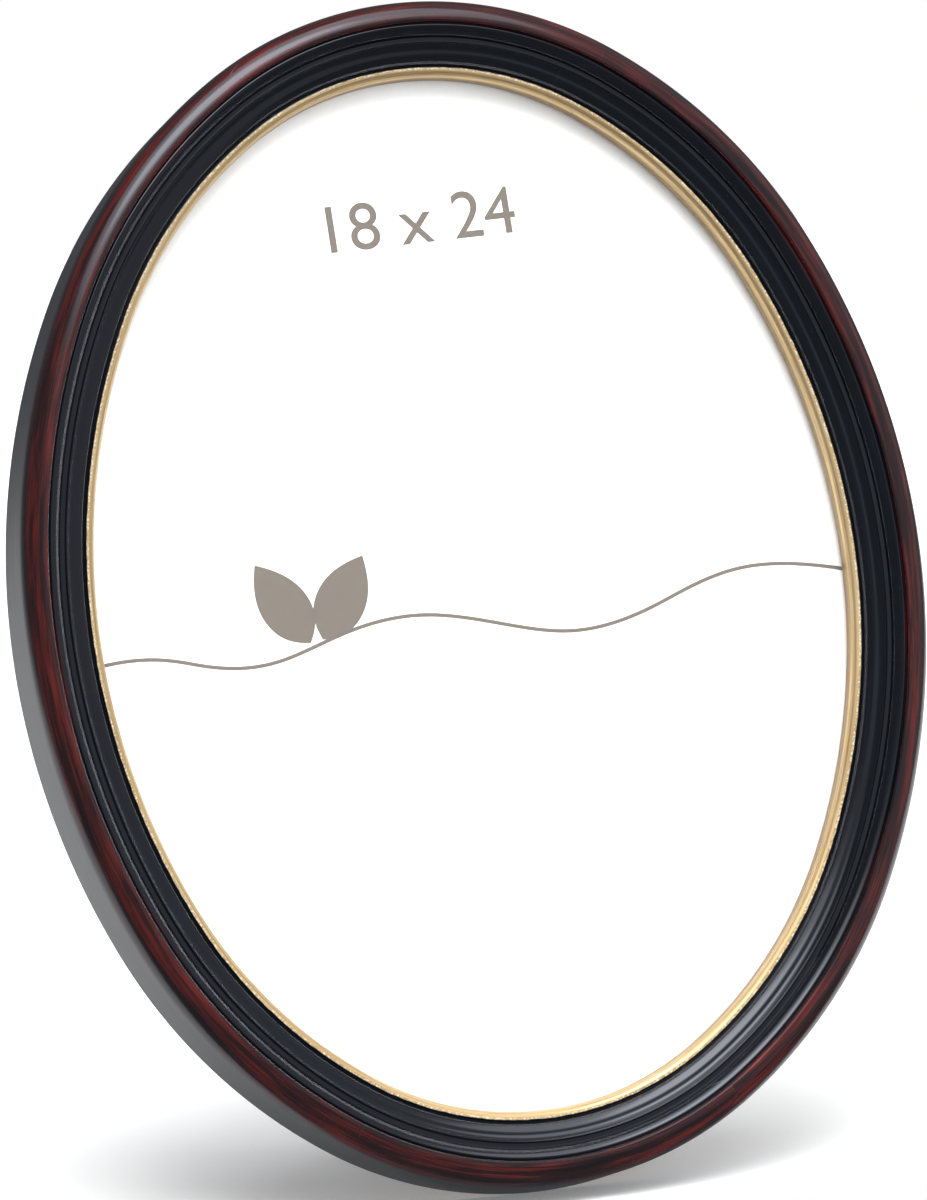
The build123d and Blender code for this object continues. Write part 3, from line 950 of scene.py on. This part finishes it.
    def along(self, point: Vector, middle: float) -> float:
        """Length along the oval from the lower right joint, up the right flank and on round.

        Args:
            point: a point of a length of moulding, in metres.
            middle: outward direction at that length's middle, in degrees.

        Returns:
            Length in metres at the reference offset.
        """
        travelled = found = 0.0
        marks = {-self.joint_angle: 0.0, middle: 0.0}
        for arc in self.oval.arcs():
            line = Vector((point.x / MM, point.y / MM, 0)) - arc.centre
            angle = (degrees(atan2(line.y, line.x)) - arc.start) % 360
            radius = arc.radius + self.reference_offset
            if angle <= arc.sweep + 1e-3:
                found = travelled + radians(angle) * radius
            for mark in marks:
                turned_to = (mark - arc.start) % 360
                if turned_to <= arc.sweep:
                    marks[mark] = travelled + radians(turned_to) * radius
            travelled += radians(arc.sweep) * radius
        from_middle = (found - marks[middle]) % travelled
        if from_middle > travelled / 2:
            from_middle -= travelled
        to_middle = (marks[middle] - marks[-self.joint_angle]) % travelled
        return (to_middle + from_middle) * MM

    def length(self, middle: float, half_turn: float, bare: float) -> Mesh:
        """One length of moulding.

        Args:
            middle: outward direction at its middle, in degrees.
            half_turn: how far it reaches to each side, in degrees.
            bare: station where bare wood starts, in millimetres.

        Returns:
            The mesh in the lying space.
        """
        mesh, _ = self.section()
        first, last = middle - half_turn, middle + half_turn
        arcs = self.oval.stretch(first, last, (first + self.joint_slack, last - self.joint_slack))
        start = arcs[0]
        placed = Matrix.Translation(start.centre * MM) @ turned_by(first) @ moved_by(start.radius, 0, 0)
        bmesh.ops.transform(mesh, matrix=placed, verts=mesh.verts)
        first_edges = mesh.edges[:]
        parts = mesh.verts[:] + mesh.edges[:]
        for arc in arcs:
            step = self.joint_step if arc.sweep <= self.joint_slack + 1e-6 else self.step_length
            steps = max(1, ceil(radians(arc.sweep) * (arc.radius + self.outer_offset) / step))
            parts = swept(mesh, parts, arc.centre * MM, (0, 0, 1), arc.sweep, steps)
        caps = []
        for edges in (first_edges, only(Edge, parts)):
            caps += bmesh.ops.edgeloop_fill(mesh, edges=edges)["faces"]
        caps = bmesh.ops.triangulate(mesh, faces=caps, quad_method="BEAUTY", ngon_method="EAR_CLIP")["faces"]
        self.shape_fingers(mesh, (first, last))
        self.map_finish(mesh, middle, bare, set(caps))
        return closed(mesh)

    def shape_fingers(self, mesh: Mesh, ends: Pair) -> None:
        """Draw both ends of a length out into the fingers of its joints.

        Args:
            mesh: the length's mesh.
            ends: outward directions at its ends, in degrees.
        """
        layer = mesh.verts.layers.float[self.joint_layer]
        for end in ends:
            centre = self.oval.stretch(end - 0.1, end + 0.1)[0].centre * MM
            towards_crown = 1 if sin(radians(2 * end)) > 0 else -1
            for vertex in mesh.verts:
                line = vertex.co - centre
                away = abs((degrees(atan2(line.y, line.x)) - end + 180) % 360 - 180)
                near = 1 - away / self.joint_slack
                if near > 0:
                    vertex[layer] = max(near, vertex[layer])
                    reach = self.finger_reach(vertex.co.z / MM) * MM
                    turn = towards_crown * near * asin(reach / hypot(line.x, line.y))
                    vertex.co = centre + Matrix.Rotation(turn, 3, "Z") @ line

    def map_finish(self, mesh: Mesh, middle: float, bare: float, caps: set[Face]) -> None:
        """Lay the finish along and across the length, in metres, and mark bare wood.

        The finish runs on from piece to piece. The timber's grain is straight, as in the board
        that the length was sawn from.

        Args:
            mesh: the length's mesh.
            middle: outward direction at its middle, in degrees.
            bare: station where bare wood starts, in millimetres.
            caps: the faces at its ends, which the lacquer has run into.
        """
        finish = mesh.loops.layers.uv[self.finish_map]
        timber = mesh.loops.layers.uv[self.timber_map]
        station = mesh.verts.layers.float[self.station_layer]
        total = max(vertex[station] for vertex in mesh.verts)
        outward, board = heading(middle), heading(middle + 90)
        lengths = {vertex: self.along(vertex.co, middle) for vertex in mesh.verts}
        for face in mesh.faces:
            for loop in face.loops:
                place = loop.vert.co
                loop[finish].uv = (lengths[loop.vert], loop.vert[station])
                loop[timber].uv = (place.dot(board), place.dot(outward) + place.z)
            stations = [vertex[station] for vertex in face.verts]
            wraps = max(stations) - min(stations) > total / 2
            if face not in caps and (wraps or min(stations) >= (bare - self.bare_margin) * MM):
                face.material_index = 1

    def build(self, shop: Workshop) -> None:
        """Make the four lengths.

        Args:
            shop: the workshop.
        """
        leaf, glaze, bare = self.bands()
        finishes = [StainedLacquerWithGilt(leaf=leaf, glaze=glaze), BareHardwood()]
        flank_half, crown_half = self.joint_angle, 90 - self.joint_angle
        for side, middle, half_turn in (
            ("right", 0.0, flank_half), ("top", 90.0, crown_half),
            ("left", 180.0, flank_half), ("bottom", 270.0, crown_half),
        ):
            node = f"moulding_{side}"
            mesh = self.length(middle, half_turn, bare)
            shop.piece(f"{node}_length", mesh, finishes, "frame", "moulding_wood", self.crease, (node,))


# Glass, sheet and what backs them


@dataclass
class PictureStack:
    """Glass pane, printed sheet and its backing, from front to back, in millimetres and degrees."""

    oval: Oval
    edge_offset: float = 5.0
    glass_front: float = -2.4
    glass_thickness: float = 1.9
    glass_ease: float = 0.2
    glass_step: float = 1.5
    rim_angle: float = 60.0
    merge: float = 0.01
    print_level: float = -4.385
    print_thickness: float = 0.015
    numerals: str = "18 x 24"
    numeral_size: float = 15.2
    numeral_place: Pair = (-2.0, 83.5)
    stroke_gain: float = 0.02
    extrusion: float = 0.05
    print_merge: float = 0.005
    thinnest: float = 1e-6
    curve_steps: int = 10
    leaf_steps: int = 16
    line_width: float = 0.85
    line_points: tuple[Pair, ...] = (
        (-87.5, -6.0), (-74.0, -4.0), (-62.0, -9.5), (-46.0, -11.0), (-30.0, -4.5), (-12.0, -2.0),
        (6.0, -7.5), (22.0, -12.5), (40.0, -9.0), (56.0, -1.5), (72.0, -1.0), (87.5, -5.5),
    )
    leaf_length: float = 21.0
    leaf_half_width: float = 5.6
    leaf_places: tuple[Triple, ...] = ((-37.6, -6.4, 118.0), (-34.8, -6.0, 56.0))
    turn: float = 2.0

    def build(self, shop: Workshop) -> None:
        """Make the pane and the print, and dress the sheets.

        Args:
            shop: the workshop.
        """
        pane = ("glass_pane_clear", self.pane(), [FLOAT_GLASS], "frame", "picture_glass")
        shop.piece(*pane, replaced=("glass_pane",))
        sheets = (("print_sheet", WHITE_PAPER), ("backing_card", GREY_CARD), ("foam_board", WHITE_FOAM))
        for node, finish in sheets:
            shop.dress(node, finish)
        prints = {"numerals": self.numeral_mesh, "line": self.line_mesh, "leaves": self.leaf_mesh}
        for name, draw in prints.items():
            shop.piece(f"print_{name}", draw(), [TAUPE_INK], "frame", "print_paper")

    def pane(self) -> Mesh:
        """Oval pane with ground edges.

        Returns:
            The mesh in the lying space.
        """
        mesh = bmesh.new()
        arcs = self.oval.stretch(0, 360)
        start = arcs[0].centre + Vector((arcs[0].radius + self.edge_offset, 0, 0))
        parts = [mesh.verts.new(Vector((start.x, start.y, self.glass_front)) * MM)]
        for arc in arcs:
            steps = max(2, round(arc.sweep / self.glass_step))
            parts = swept(mesh, parts, arc.centre * MM, (0, 0, 1), arc.sweep, steps)
        bmesh.ops.remove_doubles(mesh, verts=mesh.verts, dist=self.merge * MM)
        face = bmesh.ops.contextual_create(mesh, geom=mesh.edges[:])["faces"]
        wall = bmesh.ops.extrude_face_region(mesh, geom=face)["geom"]
        bmesh.ops.translate(mesh, verts=only(Vert, wall), vec=(0, 0, -self.glass_thickness * MM))
        closed(mesh)
        rims = [edge for edge in mesh.edges if edge.calc_face_angle() > radians(self.rim_angle)]
        ease_off(mesh, rims, self.glass_ease, 1)
        return mesh

    def flattened(self, curve: bpy.types.Curve, place: Matrix) -> Mesh:
        """Thin mesh of a curve or text on the sheet.

        Args:
            curve: the curve, drawn in millimetres, which is used up.
            place: its place on the sheet in the lying space, in millimetres.

        Returns:
            The mesh in the lying space.
        """
        drawn = stand("drawn", curve)
        graph = bpy.context.evaluated_depsgraph_get()
        data = bpy.data.meshes.new_from_object(drawn.evaluated_get(graph))
        mesh = bmesh.new()
        mesh.from_mesh(data)
        bpy.data.objects.remove(drawn)
        bpy.data.meshes.remove(data)
        bmesh.ops.remove_doubles(mesh, verts=mesh.verts, dist=self.print_merge)
        heights = [vertex.co.z for vertex in mesh.verts]
        middle = (max(heights) + min(heights)) / 2
        squeeze = self.print_thickness / max(max(heights) - min(heights), self.thinnest)
        for vertex in mesh.verts:
            vertex.co.z = (vertex.co.z - middle) * squeeze + self.print_level
        bmesh.ops.transform(mesh, matrix=Matrix.Scale(MM, 4) @ place, verts=mesh.verts)
        return closed(mesh)

    def numeral_mesh(self) -> Mesh:
        """Numerals of the sheet's size in centimetres.

        Returns:
            The mesh in the lying space.
        """
        text = bpy.data.curves.new("numerals", "FONT")
        text.body = self.numerals
        text.size = self.numeral_size
        text.align_x = text.align_y = "CENTER"
        text.extrude = self.extrusion
        text.offset = self.stroke_gain
        place = Matrix.Translation((*self.numeral_place, 0))
        return self.flattened(text, place @ turned_by(self.turn))

    def line_mesh(self) -> Mesh:
        """One waved line across the sheet.

        Returns:
            The mesh in the lying space.
        """
        curve = bpy.data.curves.new("line", "CURVE")
        curve.dimensions = "3D"
        curve.bevel_depth = self.line_width / 2
        curve.bevel_resolution = 1
        curve.resolution_u = self.curve_steps
        spline = curve.splines.new("NURBS")
        spline.points.add(len(self.line_points) - 1)
        for point, (x, y) in zip(spline.points, self.line_points):
            point.co = (x, y, 0, 1)
        spline.order_u = 4
        spline.use_endpoint_u = True
        return self.flattened(curve, turned_by(self.turn))

    def leaf_mesh(self) -> Mesh:
        """Two pointed leaves that grow from the line.

        Returns:
            The mesh in the lying space.
        """
        reach, half = self.leaf_length, self.leaf_half_width
        shape = (
            ((0, 0), (reach * 0.12, -half * 0.7), (reach * 0.12, half * 0.7)),
            ((reach * 0.45, half), (reach * 0.25, half), (reach * 0.7, half)),
            ((reach, 0), (reach * 0.9, half * 0.35), (reach * 0.9, -half * 0.35)),
            ((reach * 0.45, -half), (reach * 0.7, -half), (reach * 0.25, -half)),
        )
        parts = []
        for x, y, direction in self.leaf_places:
            curve = bpy.data.curves.new("leaf", "CURVE")
            curve.dimensions = "2D"
            curve.fill_mode = "BOTH"
            curve.extrude = self.extrusion
            curve.resolution_u = self.leaf_steps
            spline = curve.splines.new("BEZIER")
            spline.use_cyclic_u = True
            spline.bezier_points.add(len(shape) - 1)
            for point, (knot, before, after) in zip(spline.bezier_points, shape):
                point.co = (*knot, 0)
                point.handle_left_type = point.handle_right_type = "FREE"
                point.handle_left = (*before, 0)
                point.handle_right = (*after, 0)
            grown = Matrix.Translation((x, y, 0)) @ turned_by(direction)
            parts.append((self.flattened(curve, turned_by(self.turn) @ grown), Matrix.Identity(4)))
        return gathered(parts)


# Fittings on the back


@dataclass
class BackFittings:
    """Back board, turn buttons, strut with its hinge, and their screws and rivets.

    Sizes are in millimetres and degrees, outlines are rows of radius and height.
    """

    oval: Oval
    frame_back: float = -15.2
    button_angles: tuple[float, ...] = (35.0, 0.0, -35.0, 215.0, 180.0, 145.0)
    button_offset: float = 11.8
    button_stack: float = 1.7
    cross_turn: float = 17.0
    screw_outline: tuple[Pair, ...] = (
        (0.0, 9.0), (1.3, 6.8), (1.3, 0.0), (2.85, 0.0), (3.0, -0.12), (2.96, -0.35),
        (2.7, -0.75), (2.2, -1.1), (1.5, -1.36), (0.75, -1.48), (0.0, -1.5),
    )
    head_rim: float = -0.2
    cross_rim: float = -0.5
    cross_floor: float = -0.65
    cross_taper: float = 0.6
    cross_half_width: float = 0.38
    cross_reach: float = 1.75
    cut_merge: float = 0.001
    screw_steps: int = 40
    rivet_steps: int = 36
    rivet_radius: float = 1.6
    rivet_tail_radius: float = 2.3
    rivet_tail_depth: float = 0.7
    rivet_head: tuple[Pair, ...] = (
        (2.95, 0.0), (3.1, -0.12), (3.04, -0.32), (2.75, -0.62),
        (2.2, -0.86), (1.4, -1.03), (0.7, -1.09), (0.0, -1.1),
    )
    board_thickness: float = 3.0
    leaf_thickness: float = 1.0
    strut_thickness: float = 3.0
    hinge_height: float = 58.0
    knuckle_radius: float = 2.2
    open_angle: float = 20.0
    board_rivets: tuple[Pair, ...] = ((-12.0, 16.0), (12.0, 16.0))
    strut_rivets: tuple[float, ...] = (-28.0, -14.0)
    pin_outline: tuple[Pair, ...] = (
        (0.0, -19.7), (0.9, -19.66), (1.5, -19.45), (1.8, -19.1), (1.8, -19.0), (1.15, -19.0),
        (1.15, 19.0), (1.8, 19.0), (1.8, 19.1), (1.5, 19.45), (0.9, 19.66), (0.0, 19.7),
    )

    def screw(self) -> Mesh:
        """Wood screw with a cross recess, its head's seat at z = 0 and its point towards +z.

        Returns:
            The mesh in metres.
        """
        mesh = turned(self.screw_outline, self.screw_steps)
        half, reach = self.cross_half_width * MM, self.cross_reach * MM
        for direction in ((1, 0, 0), (0, 1, 0)):
            for distance in (-reach, -half, half, reach):
                head = [face for face in mesh.faces if face.calc_center_median().z < self.head_rim * MM]
                edges = {edge for face in head for edge in face.edges}
                vertices = {vertex for face in head for vertex in face.verts}
                bmesh.ops.bisect_plane(
                    mesh, geom=[*vertices, *edges, *head], dist=self.cut_merge * MM,
                    plane_co=Vector(direction) * distance, plane_no=direction,
                )
        recess = []
        for face in mesh.faces:
            centre = face.calc_center_median()
            narrow, wide = sorted((abs(centre.x), abs(centre.y)))
            if centre.z < self.cross_rim * MM and narrow < half and wide < reach:
                recess.append(face)
        made = bmesh.ops.extrude_face_region(mesh, geom=recess)["geom"]
        bmesh.ops.delete(mesh, geom=[face for face in recess if face.is_valid], context="FACES_ONLY")
        taper, floor = self.cross_taper, self.cross_floor * MM
        for vertex in only(Vert, made):
            vertex.co = Vector((vertex.co.x * taper, vertex.co.y * taper, floor))
        return closed(mesh)

    def rivet(self, grip: float) -> Mesh:
        """Rivet with its head's seat at z = 0 and its set tail flush at its grip.

        Args:
            grip: thickness that it holds, in millimetres.

        Returns:
            The mesh in metres.
        """
        shank = ((self.rivet_radius, grip - self.rivet_tail_depth), (self.rivet_radius, 0.0))
        outline = ((0.0, grip), (self.rivet_tail_radius, grip), *shank, *self.rivet_head)
        return turned(outline, self.rivet_steps)

    def build(self, shop: Workshop) -> None:
        """Make the fittings.

        Args:
            shop: the workshop.
        """
        place = shop.space.place
        shop.eased("back_board", BLACK_BOARD, "frame", "fibreboard", 0.2, RAW_BOARD)
        screws = []
        for number, angle in enumerate(self.button_angles, start=1):
            spot = self.oval.place(angle, self.button_offset)
            cross = angle + self.cross_turn * number
            screws.append((self.screw(), place(spot.x, spot.y, self.frame_back - self.button_stack, cross)))
            button = f"turn_button_{number}"
            shop.eased(button, BUTTON_BRASS, button, "button_brass", 0.15)
        shop.fitting("button_screws", "crossed", screws, SCREW_BRASS, "frame", "screw_brass")

        shop.eased("hinge_board_leaf", HINGE_ZINC, "frame", "hinge_steel")
        grip = self.leaf_thickness + self.board_thickness
        seat = self.frame_back - self.leaf_thickness
        heads = [(self.rivet(grip), place(x, self.hinge_height + y, seat)) for x, y in self.board_rivets]
        shop.fitting("board_leaf_rivets", "domed", heads, RIVET_NICKEL, "frame", "rivet_steel")
        hinge = (0, self.hinge_height, self.frame_back - self.knuckle_radius)
        pin = [(turned(self.pin_outline), place(*hinge) @ turned_by(90, "Y"))]
        shop.fitting("hinge_pin", "headed", pin, RIVET_NICKEL, "frame", "rivet_steel")

        shop.eased("hinge_strut_leaf", HINGE_ZINC, "strut", "hinge_steel")
        shop.eased("strut", BLACK_BOARD, "strut", "fibreboard", 0.25, RAW_BOARD)
        opened = place(*hinge, tilt=self.open_angle)
        grip = self.leaf_thickness + self.strut_thickness
        heads = [(self.rivet(grip), opened @ moved_by(0, y, -self.knuckle_radius)) for y in self.strut_rivets]
        shop.fitting("strut_leaf_rivets", "domed", heads, RIVET_NICKEL, "strut", "rivet_steel")


@dataclass
class WallHanger:
    """Rolled strap with a D-shaped ring for a wall hook, in millimetres and degrees."""

    fittings: BackFittings
    height: float = 103.0
    strap_thickness: float = 0.8
    rivet_drop: float = 6.2
    eye_radius: float = 1.76
    wire_radius: float = 0.9
    ring_width: float = 16.0
    ring_length: float = 13.0
    corner: float = 2.2
    wire_steps: int = 20
    corner_steps: int = 8
    bow_steps: int = 28
    merge: float = 0.01
    lean: float = 14.0

    def ring(self) -> Mesh:
        """Round wire bent to a D, its straight side on the x axis.

        Returns:
            The mesh in metres.
        """
        half = self.ring_width / 2 - self.wire_radius
        bow = -self.ring_length + half + self.wire_radius
        mesh = bmesh.new()
        start = moved_by(self.corner - half, 0, 0) @ turned_by(90, "Y")
        made = bmesh.ops.create_circle(
            mesh, segments=self.wire_steps, radius=self.wire_radius * MM, matrix=start
        )
        verts = made["verts"]
        rim = list({edge for vertex in verts for edge in vertex.link_edges})
        bends = (
            ((2 * (half - self.corner), 0), (half - self.corner, -self.corner), 90, self.corner_steps),
            ((0, bow + self.corner), (0, bow), 180, self.bow_steps),
            ((0, -bow - self.corner), (self.corner - half, -self.corner), 90, self.corner_steps),
        )
        for (run_x, run_y), (x, y), sweep, steps in bends:
            made = bmesh.ops.extrude_edge_only(mesh, edges=rim)["geom"]
            verts = only(Vert, made)
            bmesh.ops.translate(mesh, verts=verts, vec=(run_x * MM, run_y * MM, 0))
            rim = [edge for edge in only(Edge, made) if set(edge.verts) <= set(verts)]
            centre = Vector((x * MM, y * MM, 0))
            rim = only(Edge, swept(mesh, [*verts, *rim], centre, (0, 0, -1), sweep, steps))
        return closed(mesh, self.merge)

    def build(self, shop: Workshop) -> None:
        """Make the hanger.

        Args:
            shop: the workshop.
        """
        place, back = shop.space.place, self.fittings.frame_back
        shop.eased("hanger_strap", HANGER_NICKEL, "frame", "hanger_steel", 0.1)
        grip = self.strap_thickness + self.fittings.board_thickness
        seat = place(0, self.height - self.rivet_drop, back - self.strap_thickness)
        rivet = [(self.fittings.rivet(grip), seat)]
        shop.fitting("hanger_rivet", "domed", rivet, RIVET_NICKEL, "frame", "rivet_steel")
        ring = [(self.ring(), place(0, self.height, back - self.eye_radius, tilt=self.lean))]
        shop.fitting("hanger_ring", "wire", ring, HANGER_NICKEL, "hanger_ring", "hanger_steel")


# The studio


@dataclass(frozen=True)
class SeamlessPaper(PressedSheet):
    """Matt white background paper on a light table, which lets a little light through."""

    name: str = "seamless_studio_paper"
    ground: tuple[str, str] = ("#F4F4F3", "#F7F7F6")
    fleck: str = "#F1F1F0"
    fibre: float = 2.0
    depth: float = 0.0
    glow: float = 0.16

    def paint(self, draw: Drawing) -> dict[str, object]:
        """Draw the paper and the light that comes through it."""
        return super().paint(draw) | {"Emission Color": "#FFFFFF", "Emission Strength": self.glow}


@dataclass
class Studio:
    """Pale floor, soft lights and the camera at the photograph's angle.

    The floor is in metres, the camera's turn in degrees and its shift and distance in millimetres.
    Each lamp has its name, direction, strength and angle, and whether it is seen in gloss.
    """

    floor_radius: float = 1.7
    floor_reach: float = 0.065
    foot_line: float = -0.025
    floor_steps: int = 96
    turn: Triple = (-7.19, 14.85, 7.11)
    shift: Pair = (2.7, 2.1)
    distance: float = 1757.0
    focal_pixels: float = 8000.0
    long_side: float = 1200.0
    sensor_width: float = 36.0
    farthest: float = 60.0
    lamps: tuple[tuple[str, Triple, float, float, bool], ...] = (
        ("overhead_softbox", (-0.05, -0.42, 0.9), 2.1, 60.0, True),
        ("overhead_core", (-0.1, -0.53, 0.84), 1.4, 30.0, True),
        ("right_softbox", (0.65, -0.45, 0.6), 0.72, 110.0, True),
        ("polarised_front_light", (0.3, -0.85, 0.45), 3.0, 120.0, False),
    )
    air: str = "#EAF0FA"
    fill_strength: float = 0.24

    def build(self, space: FrameSpace) -> None:
        """Set up floor, light and camera.

        Args:
            space: the frame's lying space, which the camera was measured in.
        """
        self.floor()
        self.lights()
        self.world()
        self.camera(space)
        bpy.context.scene.view_settings.view_transform = "Standard"
        bpy.context.scene.view_settings.look = "None"

    def floor(self) -> None:
        """Wide round floor of paper, parted where the frame's foot stands.

        The front part reaches a little way out of the frame's front and gives no gloss, as if
        polarised, so that the bead mirrors a dark room there, as it does in the photograph.
        """
        middle = Matrix.Translation((0, self.floor_radius - self.floor_reach, 0))
        for name, is_front in (("studio_floor", False), ("studio_floor_front", True)):
            mesh = bmesh.new()
            bmesh.ops.create_circle(
                mesh, cap_ends=True, segments=self.floor_steps, radius=self.floor_radius, matrix=middle
            )
            bmesh.ops.bisect_plane(
                mesh, geom=mesh.verts[:] + mesh.edges[:] + mesh.faces[:], plane_co=(0, self.foot_line, 0),
                plane_no=(0, 1, 0), clear_outer=is_front, clear_inner=not is_front,
            )
            floor = stand_mesh(name, mesh, [SeamlessPaper()])
            floor.visible_glossy = not is_front

    def lights(self) -> None:
        """Softbox overhead, a weaker one to the right, and polarised light that gives no gloss."""
        for name, direction, strength, angle, gives_gloss in self.lamps:
            light = bpy.data.lights.new(name, "SUN")
            light.energy = strength
            light.angle = radians(angle)
            lamp = stand(name, light)
            lamp.rotation_mode = "QUATERNION"
            lamp.rotation_quaternion = Vector(direction).to_track_quat("Z", "Y")
            lamp.visible_glossy = gives_gloss

    def world(self) -> None:
        """Pale air round the frame, white where the camera sees it."""
        world = bpy.data.worlds.new("pale_room")
        world.use_nodes = True
        world.node_tree.nodes.clear()
        draw = Drawing(world.node_tree)
        room = draw.add("Background", {"Color": self.air, "Strength": self.fill_strength})
        seen = draw.add("Background", {"Color": "#FFFFFF", "Strength": 1.0})
        path = draw.add("LightPath")
        mixed = draw.add("MixShader", (path.outputs["Is Camera Ray"], room, seen))
        draw.add("OutputWorld", {"Surface": mixed})
        bpy.context.scene.world = world

    def camera(self, space: FrameSpace) -> None:
        """Camera as fitted to the photograph.

        Args:
            space: the frame's lying space.
        """
        about_x, about_y, about_z = self.turn
        turned_back = (turned_by(about_z) @ turned_by(about_x, "X") @ turned_by(about_y, "Y")).transposed()
        place = turned_back @ Vector((-self.shift[0], -self.shift[1], self.distance)) * MM
        lens = bpy.data.cameras.new("photo_camera")
        lens.sensor_width = self.sensor_width
        lens.lens = self.focal_pixels * self.sensor_width / self.long_side
        lens.clip_end = self.farthest
        camera = stand("photo_camera", lens)
        camera.matrix_world = space.to_row @ Matrix.Translation(place) @ turned_back
        bpy.context.scene.camera = camera


def main() -> None:
    """Load the frame and dress it piece by piece."""
    logging.basicConfig(level=logging.INFO, format="%(message)s")
    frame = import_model()
    space = FrameSpace.of(frame["joints"], glass_depth=3.4)
    shop = Workshop(space, frame["nodes"])
    oval = Oval()
    Studio().build(space)
    Moulding(oval).build(shop)
    PictureStack(oval).build(shop)
    fittings = BackFittings(oval)
    fittings.build(shop)
    WallHanger(fittings).build(shop)


if __name__ == "__main__":
    main()
